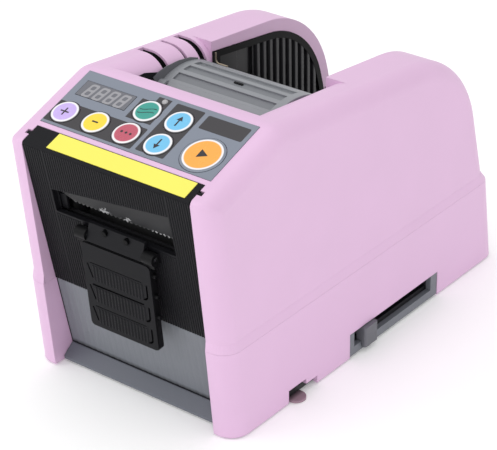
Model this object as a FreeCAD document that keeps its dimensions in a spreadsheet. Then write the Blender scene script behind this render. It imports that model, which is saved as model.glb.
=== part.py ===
"""Automatic tape dispenser in millimetres: +Z up, front at -Y, origin on the table under the middle."""
import FreeCAD, Part
import math
import os
import re
import Sketcher

V = FreeCAD.Vector
doc = FreeCAD.newDocument("tape_dispenser")

# Driving dimensions: alias, value, what it is
SIZES = (
    ("overall_width", "128", "lower housing, side to side"),
    ("overall_length", "241.5", "bend of the front to the foot of the back"),
    ("bend_height", "130.7", "table to the bend between front and keypad slope"),
    ("peak_height", "149.1", "table to the ridge behind the keypad"),
    ("peak_setback", "52.8", "bend to ridge, along Y"),
    ("front_overhang", "12.5", "how far the front leans out from table to bend"),
    ("rear_corner_setback", "31", "foot of the back to the corner of top and back lines"),
    ("top_fall", "16.8", "ridge down to that corner"),
    ("rear_round", "60", "radius of the rear shoulder in side view"),
    ("peak_round", "14", "radius of the ridge"),
    ("bend_round", "3", "radius of the bend on the pillars"),
    ("edge_round", "9", "radius of the long outer edges"),
    ("foot_gap", "1", "table to the lower edge of the housing"),
    ("seam_height", "49.5", "table to the seam between the housings"),
    ("seam_step", "1.2", "upper housing set in from the lower one at the sides and front"),
    ("rear_step", "3", "upper housing set in from the lower one at the back"),
    ("rear_lean", "7", "back of the lower housing leans in by this at the seam"),
    ("wall", "2.5", "moulded wall thickness"),
    ("gap", "0.3", "clearance between separate pieces"),
    ("fit", "0.05", "radial clearance of a pin or shaft in its hole"),
    ("pillar_width", "13.1", "each front pillar, side to side"),
    ("cheek_depth", "30", "front pillars, front to back"),
    ("side_thick", "28.6", "each side of the tape bay, wall and hollow"),
    ("bridge_setback", "59", "bend to the back edge of the keypad bridge"),
    ("bridge_flange", "14", "depth of the flange behind the bridge"),
    ("shoulder_length", "63.5", "rounded inner shoulders, from the bridge back"),
    ("shoulder_round", "13", "radius of those shoulders"),
    ("slot_first", "30.3", "bridge to the first cross slot of the left shoulder"),
    ("slot_second", "46.5", "bridge to the second, narrow one"),
    ("slot_third", "57.8", "bridge to the third"),
    ("slot_width", "4.6", "first and third cross slots, front to back"),
    ("slot_narrow", "2", "second cross slot, front to back"),
    ("slot_length", "18.5", "cross slots, out from the bay"),
    ("slot_depth", "10", "cross slots, down from the top line"),
    ("liner_top_rim", "5.5", "pink rim left above the bay liner"),
    ("liner_rear_rim", "8", "pink rim left behind the bay liner"),
    ("liner_sink", "0.8", "liner face behind the wall's inner face"),
    ("liner_plate", "1.4", "bay liner, plate behind the wall"),
    ("liner_rib", "1.3", "height of a liner rib"),
    ("liner_ribs", "10", "ribs on each liner"),
    ("liner_rib_width", "3.4", "width of a rib"),
    ("liner_rib_end", "1.2", "upper ends of the ribs to the rim"),
    ("liner_rib_rise", "14.5", "seam to the lower end of the ribs"),
    ("axle_share", "0.25", "reel axle, part of the way from the shoulders to the back"),
    ("axle_rise", "5.5", "reel axle above the seam"),
    ("axle_radius", "4", "reel axle"),
    ("axle_bush_radius", "6", "bush on each end of the axle"),
    ("reel_radius", "36", "tape core"),
    ("reel_side_gap", "8.4", "tape core to each wall of the bay"),
    ("reel_rim", "3", "rim of the tape core"),
    ("reel_web", "4", "web of the tape core"),
    ("reel_sleeve", "4", "sleeve of the tape core, round the axle"),
    ("reel_tube_gap", "7", "side of the tape core to the end of that sleeve"),
    ("axle_bush_length", "5", "bush on each end of the axle, length"),
    ("cover_lean", "11.46", "lean of the front cover, degrees"),
    ("cover_seam_gap", "0.35", "seam up to the lower edge of the front cover"),
    ("cover_thick", "2.5", "front cover"),
    ("cover_bend_round", "1.2", "outer radius of the cover's bend"),
    ("hood_depth", "11.9", "part of the cover bent back over the top"),
    ("outlet_left_side", "12.9", "left pillar to the outlet"),
    ("outlet_right_side", "15.1", "outlet to the right pillar"),
    ("outlet_low", "36.5", "bend to the lower edge of the outlet"),
    ("outlet_left_high", "23.6", "bend to the outlet's upper left corner"),
    ("outlet_right_high", "13.8", "bend to the outlet's upper right corner"),
    ("tab_setback", "7", "bend to the pivot tabs"),
    ("tab_radius", "1.1", "pivot tabs"),
    ("tab_reach", "2.3", "pivot tabs beyond the cover's sides"),
    ("strip_left_side", "14.7", "left pillar to the yellow strip"),
    ("strip_right_side", "3.9", "yellow strip to the right pillar"),
    ("strip_near", "1.5", "bend to the near edge of the strip"),
    ("strip_far", "11.5", "bend to the far edge of the strip"),
    ("strip_thick", "0.3", "yellow strip"),
    ("crease_rise", "8.2", "table to the crease of the base lip"),
    ("lip_reach", "6.3", "base lip, crease to front edge"),
    ("lip_fall", "5.1", "base lip, crease down to front edge"),
    ("front_panel_sink", "0.5", "lower front panel behind the cover's face"),
    ("base_thick", "3", "base plate"),
    ("base_rise", "0.5", "base plate above the lower edge of the housing"),
    ("chute_shift", "1.6", "middle of bracket and flap, right of the middle of the body"),
    ("tongue_width", "34.2", "outlet bracket"),
    ("tongue_high", "34.2", "bend to the upper edge of the bracket"),
    ("tongue_low", "42", "bend to the lower edge of the bracket"),
    ("tongue_lip", "1.6", "bracket out from the cover at its upper edge"),
    ("tongue_proud", "6", "bracket out from the cover at its lower edge"),
    ("bracket_pin_radius", "1.5", "pins in the bracket"),
    ("bracket_pin_spacing", "13.4", "pin to pin"),
    ("bracket_pin_drop", "36", "bend to the pins"),
    ("bracket_pin_proud", "3.8", "pins out from the cover"),
    ("flap_axis_drop", "40.2", "bend to the flap's hinge"),
    ("flap_axis_proud", "3.4", "hinge out from the cover"),
    ("flap_pin_radius", "1.2", "flap hinge pin"),
    ("flap_ear_radius", "3.1", "hinge barrels of the flap"),
    ("flap_ear_width", "6.6", "each hinge barrel"),
    ("flap_width", "43", "flap below the barrels"),
    ("flap_top", "3.4", "hinge to the top of the flap's plate"),
    ("flap_length", "52.2", "hinge to the lower edge"),
    ("flap_thick", "3", "flap plate"),
    ("flap_corner", "2.5", "rounded lower corners of the flap"),
    ("flap_hang", "6", "flap hangs out from the cover's plane, degrees"),
    ("flap_pegs", "3", "pegs on the flap's right edge"),
    ("flap_peg_first", "9.5", "hinge to the first peg"),
    ("flap_peg_pitch", "11.6", "peg to peg"),
    ("flap_peg_radius", "1.1", "pegs"),
    ("flap_peg_reach", "1.8", "pegs beyond the edge"),
    ("flap_rungs", "3", "framed fields on the flap"),
    ("flap_rung_pitch", "12.6", "field to field"),
    ("flap_field_width", "36", "each field"),
    ("flap_field_height", "10.8", "each field"),
    ("flap_field_depth", "0.9", "each field"),
    ("flap_field_round", "3", "rounded ends of the fields"),
    ("panel_plate", "3", "keypad slope, thickness"),
    ("overlay_side", "12.4", "keypad overlay to each side of the body"),
    ("overlay_setback", "15.2", "bend to the overlay"),
    ("overlay_length", "37.9", "overlay, up the slope"),
    ("overlay_thick", "0.8", "overlay"),
    ("overlay_sink", "0.6", "recess that the overlay lies in"),
    ("key_radius", "7.35", "small keys"),
    ("key_first_side", "7.9", "left edge of the overlay to the first key column"),
    ("key_share", "0.2338", "key pitch, part of the way from the first key to the start key"),
    ("key_row_low", "24.5", "bend to the lower key row"),
    ("key_row_high", "40.6", "bend to the upper key row"),
    ("start_radius", "11", "start key"),
    ("start_side", "13.6", "start key to the right edge of the overlay"),
    ("start_row", "27.2", "bend to the start key"),
    ("key_proud", "0.8", "keys above the slope"),
    ("key_skirt", "0.9", "keys below the slope"),
    ("key_travel", "0.6", "keys, pressed"),
    ("stem_radius", "3", "key stems"),
    ("stem_end", "4.6", "slope to the end of the stems"),
    ("display_shift", "0.602", "first key column to the middle of the display, in key pitches"),
    ("display_row", "41.8", "bend to the middle of the display"),
    ("display_pitches", "1.597", "width of the display, in key pitches"),
    ("display_height", "10", "display window"),
    ("led_shift", "4", "third key column to the status light"),
    ("led_row", "49.2", "bend to the status light"),
    ("led_radius", "1.5", "status light"),
    ("board_drop", "9", "slope to the top of the control board"),
    ("board_thick", "1.6", "circuit boards"),
    ("switch_side_length", "6", "key switches, square"),
    ("post_margin", "2.8", "edges of the overlay to the board's posts"),
    ("post_radius", "2", "posts of the boards"),
    ("guide_setback", "98", "bend to the axis of the arched guide cover"),
    ("guide_drop", "47.2", "ridge down to that axis"),
    ("guide_radius", "37", "outer radius of the guide cover"),
    ("guide_thick", "3", "guide cover"),
    ("guide_start", "57.5", "rear end of the arch, degrees up from the back"),
    ("guide_span", "90", "arch, degrees"),
    ("guide_side_gap", "0.8", "guide cover to each wall"),
    ("guide_channels", "3", "channels along the guide cover"),
    ("guide_channel_first", "22", "rear end to the first channel, degrees"),
    ("guide_channel_step", "13", "channel to channel, degrees"),
    ("guide_channel_width", "5.4", "each channel"),
    ("guide_channel_depth", "1", "each channel"),
    ("guide_rim", "4.5", "plain rim beside the channels"),
    ("guide_slot_turn", "33", "rear end to the sight slot, degrees"),
    ("guide_slot_shift", "1.5", "sight slot right of the middle"),
    ("guide_slot_length", "5.4", "sight slot"),
    ("guide_slot_width", "1.3", "sight slot"),
    ("guide_seam_turn", "14.5", "rear end to the fine seam, degrees"),
    ("guide_seam_width", "0.5", "fine seam"),
    ("guide_seam_end", "2", "middle to the right end of the seam"),
    ("guide_pivot_turn", "117.5", "pivot of the guide cover, degrees up from the back"),
    ("guide_pivot_radius", "2", "pivot pins"),
    ("guide_boss_radius", "3.4", "bosses round the pivot pins"),
    ("guide_roller_radius", "4", "roller under the guide cover"),
    ("guide_shaft_radius", "1.5", "its shaft"),
    ("guide_roller_drop", "9", "top of the arch to the roller's axis"),
    ("wire_radius", "0.4", "bent wire on the guide cover"),
    ("wire_left", "8.5", "left wall of the bay to the wire's bend"),
    ("wire_right", "54.8", "wire's end to the right wall of the bay"),
    ("wire_bend", "2", "bend of the wire"),
    ("wire_rise", "3.5", "upright end of the wire"),
    ("frame_side", "1.6", "frame plates, outside the walls of the bay"),
    ("frame_thick", "2", "frame plates"),
    ("frame_drop", "10.7", "bend down to the top of the frame plates"),
    ("frame_inset", "10", "cover's face to the frames' front edges"),
    ("spacer_radius", "3", "frame spacers"),
    ("feed_setback", "34.75", "bend to the feed roller"),
    ("feed_drop", "41.8", "bend down to the feed roller"),
    ("feed_radius", "10", "feed roller"),
    ("feed_shaft_radius", "3", "feed roller shaft"),
    ("roller_side_gap", "4", "feed and pinch rollers to each frame plate"),
    ("nip_gap", "0.3", "between the rollers, where the tape passes"),
    ("pinch_radius", "7", "pinch roller"),
    ("pinch_shaft_radius", "2.5", "pinch roller shaft"),
    ("tooth_module", "1", "gear teeth"),
    ("feed_teeth", "40", "feed gear"),
    ("pinion_teeth", "12", "motor pinion"),
    ("gear_width", "5", "gears"),
    ("motor_radius", "13.5", "motors"),
    ("motor_middle_gap", "4", "motors to the middle of the body"),
    ("motor_shaft_radius", "2", "motor shafts"),
    ("motor_bore", "9", "bore for the shaft in each motor's front"),
    ("motor_step", "1.5", "motor can in from the gear case"),
    ("blade_thick", "1.5", "cutter blades"),
    ("blade_side_gap", "0.5", "blades to each frame plate"),
    ("blade_edge", "29.2", "bend to the fixed blade's edge"),
    ("blade_top", "11", "bend to the fixed blade's top"),
    ("blade_bevel", "8", "plain left corner of the fixed blade, along its edge"),
    ("blade_bevel_rise", "3", "that corner, up from the edge"),
    ("blade_gap", "0.2", "between the two blades"),
    ("moving_edge", "37.9", "bend to the moving blade's edge at rest"),
    ("moving_height", "18", "moving blade"),
    ("blade_teeth", "26", "teeth along the fixed blade"),
    ("blade_tooth", "1", "depth of those teeth"),
    ("bar_low", "22", "bend to the lower edge of the blade bar"),
    ("carrier_high", "43.9", "bend to the carrier's upper edge"),
    ("carrier_low", "57.9", "bend to the carrier's lower edge"),
    ("carrier_thick", "3", "blade carrier"),
    ("crank_drop", "95", "bend to the crank's axis, down the front"),
    ("crank_inset", "24", "cover's face to the crank's axis"),
    ("crank_radius", "6", "crank pin from the crank's axis"),
    ("crank_rest", "40", "crank pin below level at rest, degrees"),
    ("crank_pin_radius", "1.5", "crank pin"),
    ("crank_slot_gap", "0.25", "crank pin to the sides of its slot"),
    ("crank_rim", "3", "crank disc beyond its pin's circle"),
    ("crank_thick", "3", "crank disc"),
    ("yoke_thick", "2.5", "arm of the carrier"),
    ("yoke_off", "5", "left frame plate to the arm"),
    ("yoke_depth", "5", "upper part of the arm, front to back"),
    ("yoke_fork", "9", "end of the arm beyond the crank's axis"),
    ("foot_radius", "11", "rubber feet"),
    ("foot_side", "14", "front feet to the sides"),
    ("foot_setback", "61.25", "bend to the front feet"),
    ("rear_foot_side", "20", "rear feet to the sides"),
    ("rear_foot_setback", "32.75", "rear feet to the foot of the back"),
    ("foot_stem_radius", "3", "stems of the feet in the base plate"),
    ("foot_tab_reach", "4", "round tabs of the front feet beyond the sides"),
    ("foot_tab_radius", "5", "those tabs"),
    ("foot_tab_low", "0.3", "table to the underside of those tabs"),
    ("notch_width", "14", "notch beside each front foot"),
    ("notch_height", "8", "table to the top of the notch"),
    ("notch_step", "9", "shallow notch behind it"),
    ("notch_step_height", "5", "table to the top of the shallow notch"),
    ("rail_setback", "104.75", "bend to the front end of the rail"),
    ("rail_rear_setback", "58.25", "rear end of the rail to the foot of the back"),
    ("rail_top", "14.7", "table to the top of the rail"),
    ("rail_ledge", "6", "table to the top of the rail's ledge"),
    ("rail_front_post", "4", "post at the front end of the rail"),
    ("rail_rear_post", "6", "post at the rear end of the rail"),
    ("rail_sink", "3.5", "floor of the rail behind the housing's side"),
    ("rail_floor", "2", "floor of the rail, thickness"),
    ("rail_slot", "4.2", "slot in the rail, height"),
    ("knob_rest", "10", "front end of the rail to the knob at rest"),
    ("knob_length", "11", "slide knob"),
    ("knob_low", "3", "table to the lower edge of the knob"),
    ("knob_proud", "2.4", "knob beyond the side"),
    ("knob_keeper", "1.5", "plate that holds the knob behind the rail"),
    ("inlet_side", "11.4", "left wall of the bay to the power inlet"),
    ("inlet_width", "28", "power inlet"),
    ("inlet_height", "20", "power inlet"),
    ("switch_side", "15.4", "rocker switch to the right wall of the bay"),
    ("switch_width", "21", "rocker switch"),
    ("switch_height", "15", "rocker switch"),
    ("socket_drop", "23.5", "seam down to the middle of inlet and switch"),
    ("socket_ease", "1", "bodies of inlet and switch inside their outer size"),
    ("socket_lip", "1.5", "their flanges beyond that size"),
    ("socket_flange", "1.4", "their flanges, thickness"),
    ("inlet_depth", "18", "power inlet, into the body"),
    ("inlet_wall", "2.5", "power inlet, round the recess for the plug"),
    ("inlet_corner", "4", "cut corners of that recess"),
    ("inlet_pin", "2", "pins of the inlet, thickness"),
    ("inlet_pin_spread", "7", "outer pins from the middle"),
    ("switch_depth", "12", "rocker switch, into the body"),
    ("switch_wall", "2.3", "rocker switch, round the rocker"),
    ("rocker_sink", "2", "back of the body to the rocker's pivot"),
    ("rocker_pivot_radius", "1.2", "trunnions of the rocker"),
    ("power_board_lead", "21", "front edge of the power board ahead of the axle"),
    ("power_board_length", "70", "power board"),
    ("power_board_rise", "10.5", "seam to the lower edge of the power board"),
    ("power_board_height", "52", "power board"),
    ("power_board_off", "4", "power board behind the liner"),
    ("rocker_tilt", "9", "rocker's rest tilt, degrees"),
    ("screw_side", "3.7", "housing screws to the inside of the walls"),
    ("screw_setback", "82.75", "bend to the front pair of housing screws"),
    ("screw_rear_setback", "28.75", "rear pair of housing screws to the foot of the back"),
    ("screw_radius", "1.5", "shank of the housing screws"),
    ("screw_head_radius", "2.8", "heads of the housing screws"),
    ("screw_boss_radius", "4.2", "bosses for the housing screws"),
    ("screw_boss_top", "20", "table to the top of those bosses"),
)
ALIASES = {name for name, value, note in SIZES}

# Sizes and places that follow from the driving ones
DERIVED = {
    "opening_width": "overall_width - 2 * pillar_width",
    "bay_width": "overall_width - 2 * side_thick",
    "overlay_width": "overall_width - 2 * overlay_side",
    "cover_length": "(bend_height - seam_height - cover_seam_gap) / cos(cover_lean)",
    "lip_drop": "(bend_height - crease_rise) / cos(cover_lean)",
    "outlet_left": "opening_width / 2 - outlet_left_side",
    "outlet_right": "opening_width / 2 - outlet_right_side",
    "strip_left": "opening_width / 2 - strip_left_side",
    "strip_right": "opening_width / 2 - strip_right_side",
    "key_first_x": "key_first_side - overlay_width / 2",
    "start_x": "overlay_width / 2 - start_side",
    "key_pitch": "key_share * (start_x - key_first_x)",
    "display_x": "key_first_x + display_shift * key_pitch",
    "display_width": "display_pitches * key_pitch",
    "led_x": "key_first_x + 2 * key_pitch + led_shift",
    "liner_rib_low": "seam_height + liner_rib_rise",
    "axle_z": "seam_height + axle_rise",
    "reel_width": "bay_width - 2 * reel_side_gap",
    "guide_y": "guide_setback - overall_length / 2",
    "guide_z": "peak_height - guide_drop",
    "wire_length": "bay_width - wire_left - wire_right",
    "frame_half": "bay_width / 2 + frame_side",
    "frame_top": "bend_height - frame_drop",
    "feed_y": "feed_setback - overall_length / 2",
    "feed_z": "bend_height - feed_drop",
    "roller_width": "2 * (frame_half - roller_side_gap)",
    "motor_length": "frame_half - motor_middle_gap",
    "blade_half": "frame_half - blade_side_gap",
    "foot_x": "overall_width / 2 - foot_side",
    "foot_y": "foot_setback - overall_length / 2",
    "rear_foot_x": "overall_width / 2 - rear_foot_side",
    "rear_foot_y": "overall_length / 2 - rear_foot_setback",
    "rail_front": "rail_setback - overall_length / 2",
    "rail_rear": "overall_length / 2 - rail_rear_setback",
    "inlet_x": "inlet_side - bay_width / 2",
    "switch_x": "bay_width / 2 - switch_side",
    "socket_z": "seam_height - socket_drop",
    "screw_x": "overall_width / 2 - wall - screw_side",
    "screw_front_y": "screw_setback - overall_length / 2",
    "screw_rear_y": "overall_length / 2 - screw_rear_setback",
}

sheet = doc.addObject("Spreadsheet::Sheet", "Dim")
for row, (name, value, note) in enumerate(SIZES, start=1):
    sheet.set(f"A{row}", note)
    sheet.set(f"B{row}", value)
    sheet.setAlias(f"B{row}", name)
doc.recompute()

# Lines and frames that several pieces share, in words of the sheet
FRONT = "(-overall_length / 2)"
SLOPE = "((peak_height - bend_height) / peak_setback)"
TILT = f"(atan({SLOPE}) / 1 deg)"
FALL = "(top_fall / (overall_length - peak_setback - rear_corner_setback))"
RIDGE = f"({FRONT} + peak_setback)"
BRIDGE_REAR = f"({FRONT} + bridge_setback)"
SHOULDER_END = f"({BRIDGE_REAR} + shoulder_length)"
LOWER_SEAM_FRONT = f"({FRONT} + front_overhang * (bend_height - seam_height) / bend_height)"
UPPER_SEAM_REAR = "(overall_length / 2 - rear_lean - rear_step)"
REAR_CORNER_Y = "(overall_length / 2 - rear_corner_setback)"
REAR_CORNER_Z = "(peak_height - top_fall)"
REAR_RUN = f"(({UPPER_SEAM_REAR} - {REAR_CORNER_Y}) / ({REAR_CORNER_Z} - seam_height))"
TOP_ANGLE = f"(atan({FALL}) / 1 deg)"
ARC_TANGENT = f"(rear_round / tan((90 + {TOP_ANGLE} + atan({REAR_RUN}) / 1 deg) / 2))"
ARC_Y = f"({REAR_CORNER_Y} - {ARC_TANGENT} * cos({TOP_ANGLE}) - rear_round * sin({TOP_ANGLE}))"
ARC_Z = f"({REAR_CORNER_Z} + {ARC_TANGENT} * sin({TOP_ANGLE}) - rear_round * cos({TOP_ANGLE}))"
HOLLOW_INSET = "(wall + 0.3 * edge_round)"
SIDE = "(overall_width / 2)"
UPPER_SIDE = "(overall_width / 2 - seam_step)"
PANEL_FRAME = f"placement(vector(0; {FRONT}; bend_height); rotation(vector(1; 0; 0); {TILT}))"
COVER_FRAME = f"placement(vector(0; {FRONT}; bend_height); rotation(vector(1; 0; 0); 90 + cover_lean))"
CREASE_Y = f"({FRONT} + lip_drop * sin(cover_lean))"
CREASE_Z = "(bend_height - lip_drop * cos(cover_lean))"
UNDERSIDE = "(foot_gap + base_rise)"
FLOOR_TOP = f"({UNDERSIDE} + base_thick)"
AXLE_Y = f"({SHOULDER_END} + axle_share * ({UPPER_SEAM_REAR} - {SHOULDER_END}))"
REAR_TILT = "(atan(rear_lean / (seam_height - foot_gap)) / 1 deg)"


def top_line(y):
    """Height of the walls' top line at y behind the ridge."""
    return f"(peak_height - ({y} - {RIDGE}) * {FALL})"


def size(name):
    return float(sheet.get(name))


def tie(text):
    """Write an expression in the sheet's names as one the document understands."""
    def word(match):
        name = match.group()
        if name in DERIVED:
            return f"({tie(DERIVED[name])})"
        return f"Dim.{name}" if name in ALIASES else name

    return re.sub(r"[a-z_]\w*", word, text)


# Sketches and features
def new_body(label, frame=None):
    body = doc.addObject("PartDesign::Body", label)
    body.Label = label
    if frame:
        body.setExpression("Placement", tie(frame))
    return body


def new_sketch(body, role, frame=None):
    sketch = body.newObject("Sketcher::SketchObject", f"{body.Name}_sketch")
    plane = [feature for feature in body.Origin.OriginFeatures if feature.Role == role][0]
    sketch.AttachmentSupport = [(plane, "")]
    sketch.MapMode = "FlatFace"
    if frame:
        sketch.setExpression("AttachmentOffset", tie(frame))
    return sketch


def dimension(sketch, kind, geometry, point, text):
    index = sketch.addConstraint(Sketcher.Constraint(kind, -1, 1, geometry, point, 1.0))
    sketch.setExpression(f"Constraints[{index}]", tie(text))


def outline(sketch, points):
    """Closed outline through points given as pairs of expressions."""
    count = len(points)
    first = sketch.GeometryCount
    turns = [2 * math.pi * i / count for i in range(count)]
    start = [V(math.cos(turn), math.sin(turn), 0) * 50 for turn in turns]
    for i in range(count):
        sketch.addGeometry(Part.LineSegment(start[i], start[(i + 1) % count]), False)
    for i in range(count):
        sketch.addConstraint(Sketcher.Constraint("Coincident", first + i, 2, first + (i + 1) % count, 1))
    for i, (across, up) in enumerate(points):
        dimension(sketch, "DistanceX", first + i, 1, across)
        dimension(sketch, "DistanceY", first + i, 1, up)


def rectangle(sketch, left, right, low, high):
    outline(sketch, [(left, low), (right, low), (right, high), (left, high)])


def touch_point(point, centre, radius, side):
    """Where a line from a point touches a circle, on the chosen side of it."""
    away = point - centre
    angle = math.atan2(away.y, away.x) + side * math.acos(radius / away.Length)
    return centre + V(math.cos(angle), math.sin(angle), 0) * radius


def shoulder_outline(sketch, front, low, top_rim, arc_rim, rear_rim):
    """Outline inside a wall's side view: rims from its top line, from its rear arc and from its rear line."""
    arc_radius = f"rear_round - ({arc_rim})"
    spots = [
        (front, low),
        (front, f"{top_line(front)} - ({top_rim})"),
        (f"{UPPER_SEAM_REAR} + (seam_height - ({low})) * {REAR_RUN} - ({rear_rim})", low),
        (ARC_Y, ARC_Z),
        (f"{ARC_Y} + {arc_radius}", ARC_Z),
    ]
    for number, (across, up) in enumerate(spots):
        sketch.addGeometry(Part.Point(V(number, 0, 0)), True)
        dimension(sketch, "DistanceX", number, 1, across)
        dimension(sketch, "DistanceY", number, 1, up)
    doc.recompute()
    front_low, front_high, rear_low, centre, rim = [V(item.X, item.Y, 0) for item in sketch.Geometry]
    radius = rim.x - centre.x
    upper = touch_point(front_high, centre, radius, -1)
    lower = touch_point(rear_low, centre, radius, 1)
    first = sketch.GeometryCount
    turn = [math.atan2((p - centre).y, (p - centre).x) for p in (lower, upper)]
    sketch.addGeometry(Part.LineSegment(front_low, front_high), False)
    sketch.addGeometry(Part.LineSegment(front_high, upper), False)
    sketch.addGeometry(Part.ArcOfCircle(Part.Circle(centre, V(0, 0, 1), radius), *turn), False)
    sketch.addGeometry(Part.LineSegment(lower, rear_low), False)
    sketch.addGeometry(Part.LineSegment(rear_low, front_low), False)
    joins = (("Coincident", 0, 2, 1, 1), ("Tangent", 1, 2, 2, 2), ("Tangent", 2, 1, 3, 1),
             ("Coincident", 3, 2, 4, 1), ("Coincident", 4, 2, 0, 1))
    for kind, one, one_end, other, other_end in joins:
        sketch.addConstraint(Sketcher.Constraint(kind, first + one, one_end, first + other, other_end))
    for line, end, spot in ((0, 1, 0), (0, 2, 1), (3, 2, 2), (2, 3, 3)):
        sketch.addConstraint(Sketcher.Constraint("Coincident", first + line, end, spot, 1))
    bound = sketch.addConstraint(Sketcher.Constraint("Radius", first + 2, radius))
    sketch.setExpression(f"Constraints[{bound}]", tie(arc_radius))


def circle(sketch, across, up, radius):
    index = sketch.addGeometry(Part.Circle(V(1, 1, 0), V(0, 0, 1), 2.0), False)
    dimension(sketch, "DistanceX", index, 3, across)
    dimension(sketch, "DistanceY", index, 3, up)
    bound = sketch.addConstraint(Sketcher.Constraint("Radius", index, 2.0))
    sketch.setExpression(f"Constraints[{bound}]", tie(radius))


def feature(body, kind, sketch, length, both_sides=False, flip=False):
    made = body.newObject(f"PartDesign::{kind}", f"{body.Name}_{kind.lower()}")
    made.Profile = sketch
    made.SideType = "Symmetric" if both_sides else "One side"
    made.Reversed = flip
    made.setExpression("Length", tie(length))
    sketch.Visibility = False
    body.Tip = made
    return made


def cut(body, sketch, length, both_sides=False, flip=False):
    """Pocket that has to take material away."""
    doc.recompute()
    before = body.Shape.Volume
    made = feature(body, "Pocket", sketch, length, both_sides, flip)
    doc.recompute()
    if not body.Shape.Volume < before:
        raise ValueError(f"{made.Name} cuts nothing")
    return made


def rounded(body, radius, pick):
    """Fillet on the edges that pick chooses from the body's last feature."""
    doc.recompute()
    base = body.Tip
    names = [f"Edge{i}" for i, edge in enumerate(base.Shape.Edges, start=1) if pick(edge)]
    if not names:
        raise ValueError(f"no edges to round on {body.Label}")
    made = body.newObject("PartDesign::Fillet", f"{body.Name}_fillet")
    made.Base = (base, names)
    made.setExpression("Radius", tie(radius))
    body.Tip = made
    return made


def corner_of(sketch, index):
    """Picker for the edges along X that rise from one corner of a sketch in the YZ plane."""
    doc.recompute()
    point = sketch.Geometry[index].StartPoint
    return lambda edge: all(abs(v.Y - point.x) < 0.01 and abs(v.Z - point.y) < 0.01 for v in edge.Vertexes)


def turned(label, points, frame=None):
    """Solid of revolution about the X axis: points are pairs of x and radius."""
    body = new_body(label, frame)
    sketch = new_sketch(body, "XY_Plane")
    outline(sketch, points)
    turn = body.newObject("PartDesign::Revolution", f"{label}_turn")
    turn.Profile = sketch
    turn.ReferenceAxis = (sketch, ["H_Axis"])
    turn.Angle = 360
    sketch.Visibility = False
    body.Tip = turn
    return body


def at(x="0", y="0", z="0"):
    return f"placement(vector({x}; {y}; {z}); rotation(vector(1; 0; 0); 0))"


def turned_at(y, z, angle):
    return f"placement(vector(0; {y}; {z}); rotation(vector(1; 0; 0); {angle}))"


def along_x(x):
    """Offset for a sketch in the YZ plane, moved along its normal."""
    return f"placement(vector(0; 0; {x}); rotation(vector(1; 0; 0); 0))"


def slab(label, frame, points, thickness, flip=False):
    """Plate padded from an outline in its own XY plane."""
    body = new_body(label, frame)
    sketch = new_sketch(body, "XY_Plane")
    outline(sketch, points)
    feature(body, "Pad", sketch, thickness, flip=flip)
    return body


def box_points(left, right, low, high):
    return [(left, low), (right, low), (right, high), (left, high)]


def rod(label, radius, left, right, y, z, frame=None):
    """Round bar along X of a frame."""
    bar = doc.addObject("Part::Cylinder", label)
    bar.Label = label
    bar.setExpression("Radius", tie(radius))
    bar.setExpression("Height", tie(f"({right}) - ({left})"))
    spot = f"placement(vector({left}; {y}; {z}); rotation(vector(0; 1; 0); 90))"
    bar.setExpression("Placement", tie(f"{frame} * {spot}" if frame else spot))
    return bar


def group(label, members):
    """Like pieces that share one node, each a solid of its own."""
    made = doc.addObject("Part::Compound", label)
    made.Label = label
    made.Links = members
    return made


# Keys: name, column expression, row expression, radius
def column(number):
    return f"(key_first_x + {number} * key_pitch)"


KEYS = (
    ("key_plus", column(0), "key_row_low", "key_radius"),
    ("key_minus", column(1), "key_row_low", "key_radius"),
    ("key_select", column(2), "key_row_low", "key_radius"),
    ("key_mode", column(2), "key_row_high", "key_radius"),
    ("key_up", column(3), "key_row_high", "key_radius"),
    ("key_down", column(3), "key_row_low", "key_radius"),
    ("key_start", "start_x", "start_row", "start_radius"),
)
KEY_POCKET = "(key_skirt + key_travel + 0.2)"
POST_X = "(overlay_width / 2 - post_margin)"
POST_ROWS = ("overlay_setback + post_margin", "overlay_setback + overlay_length - post_margin")
BOARD_POSTS = [(sign + POST_X, row) for sign in ("-", "") for row in POST_ROWS]


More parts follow.
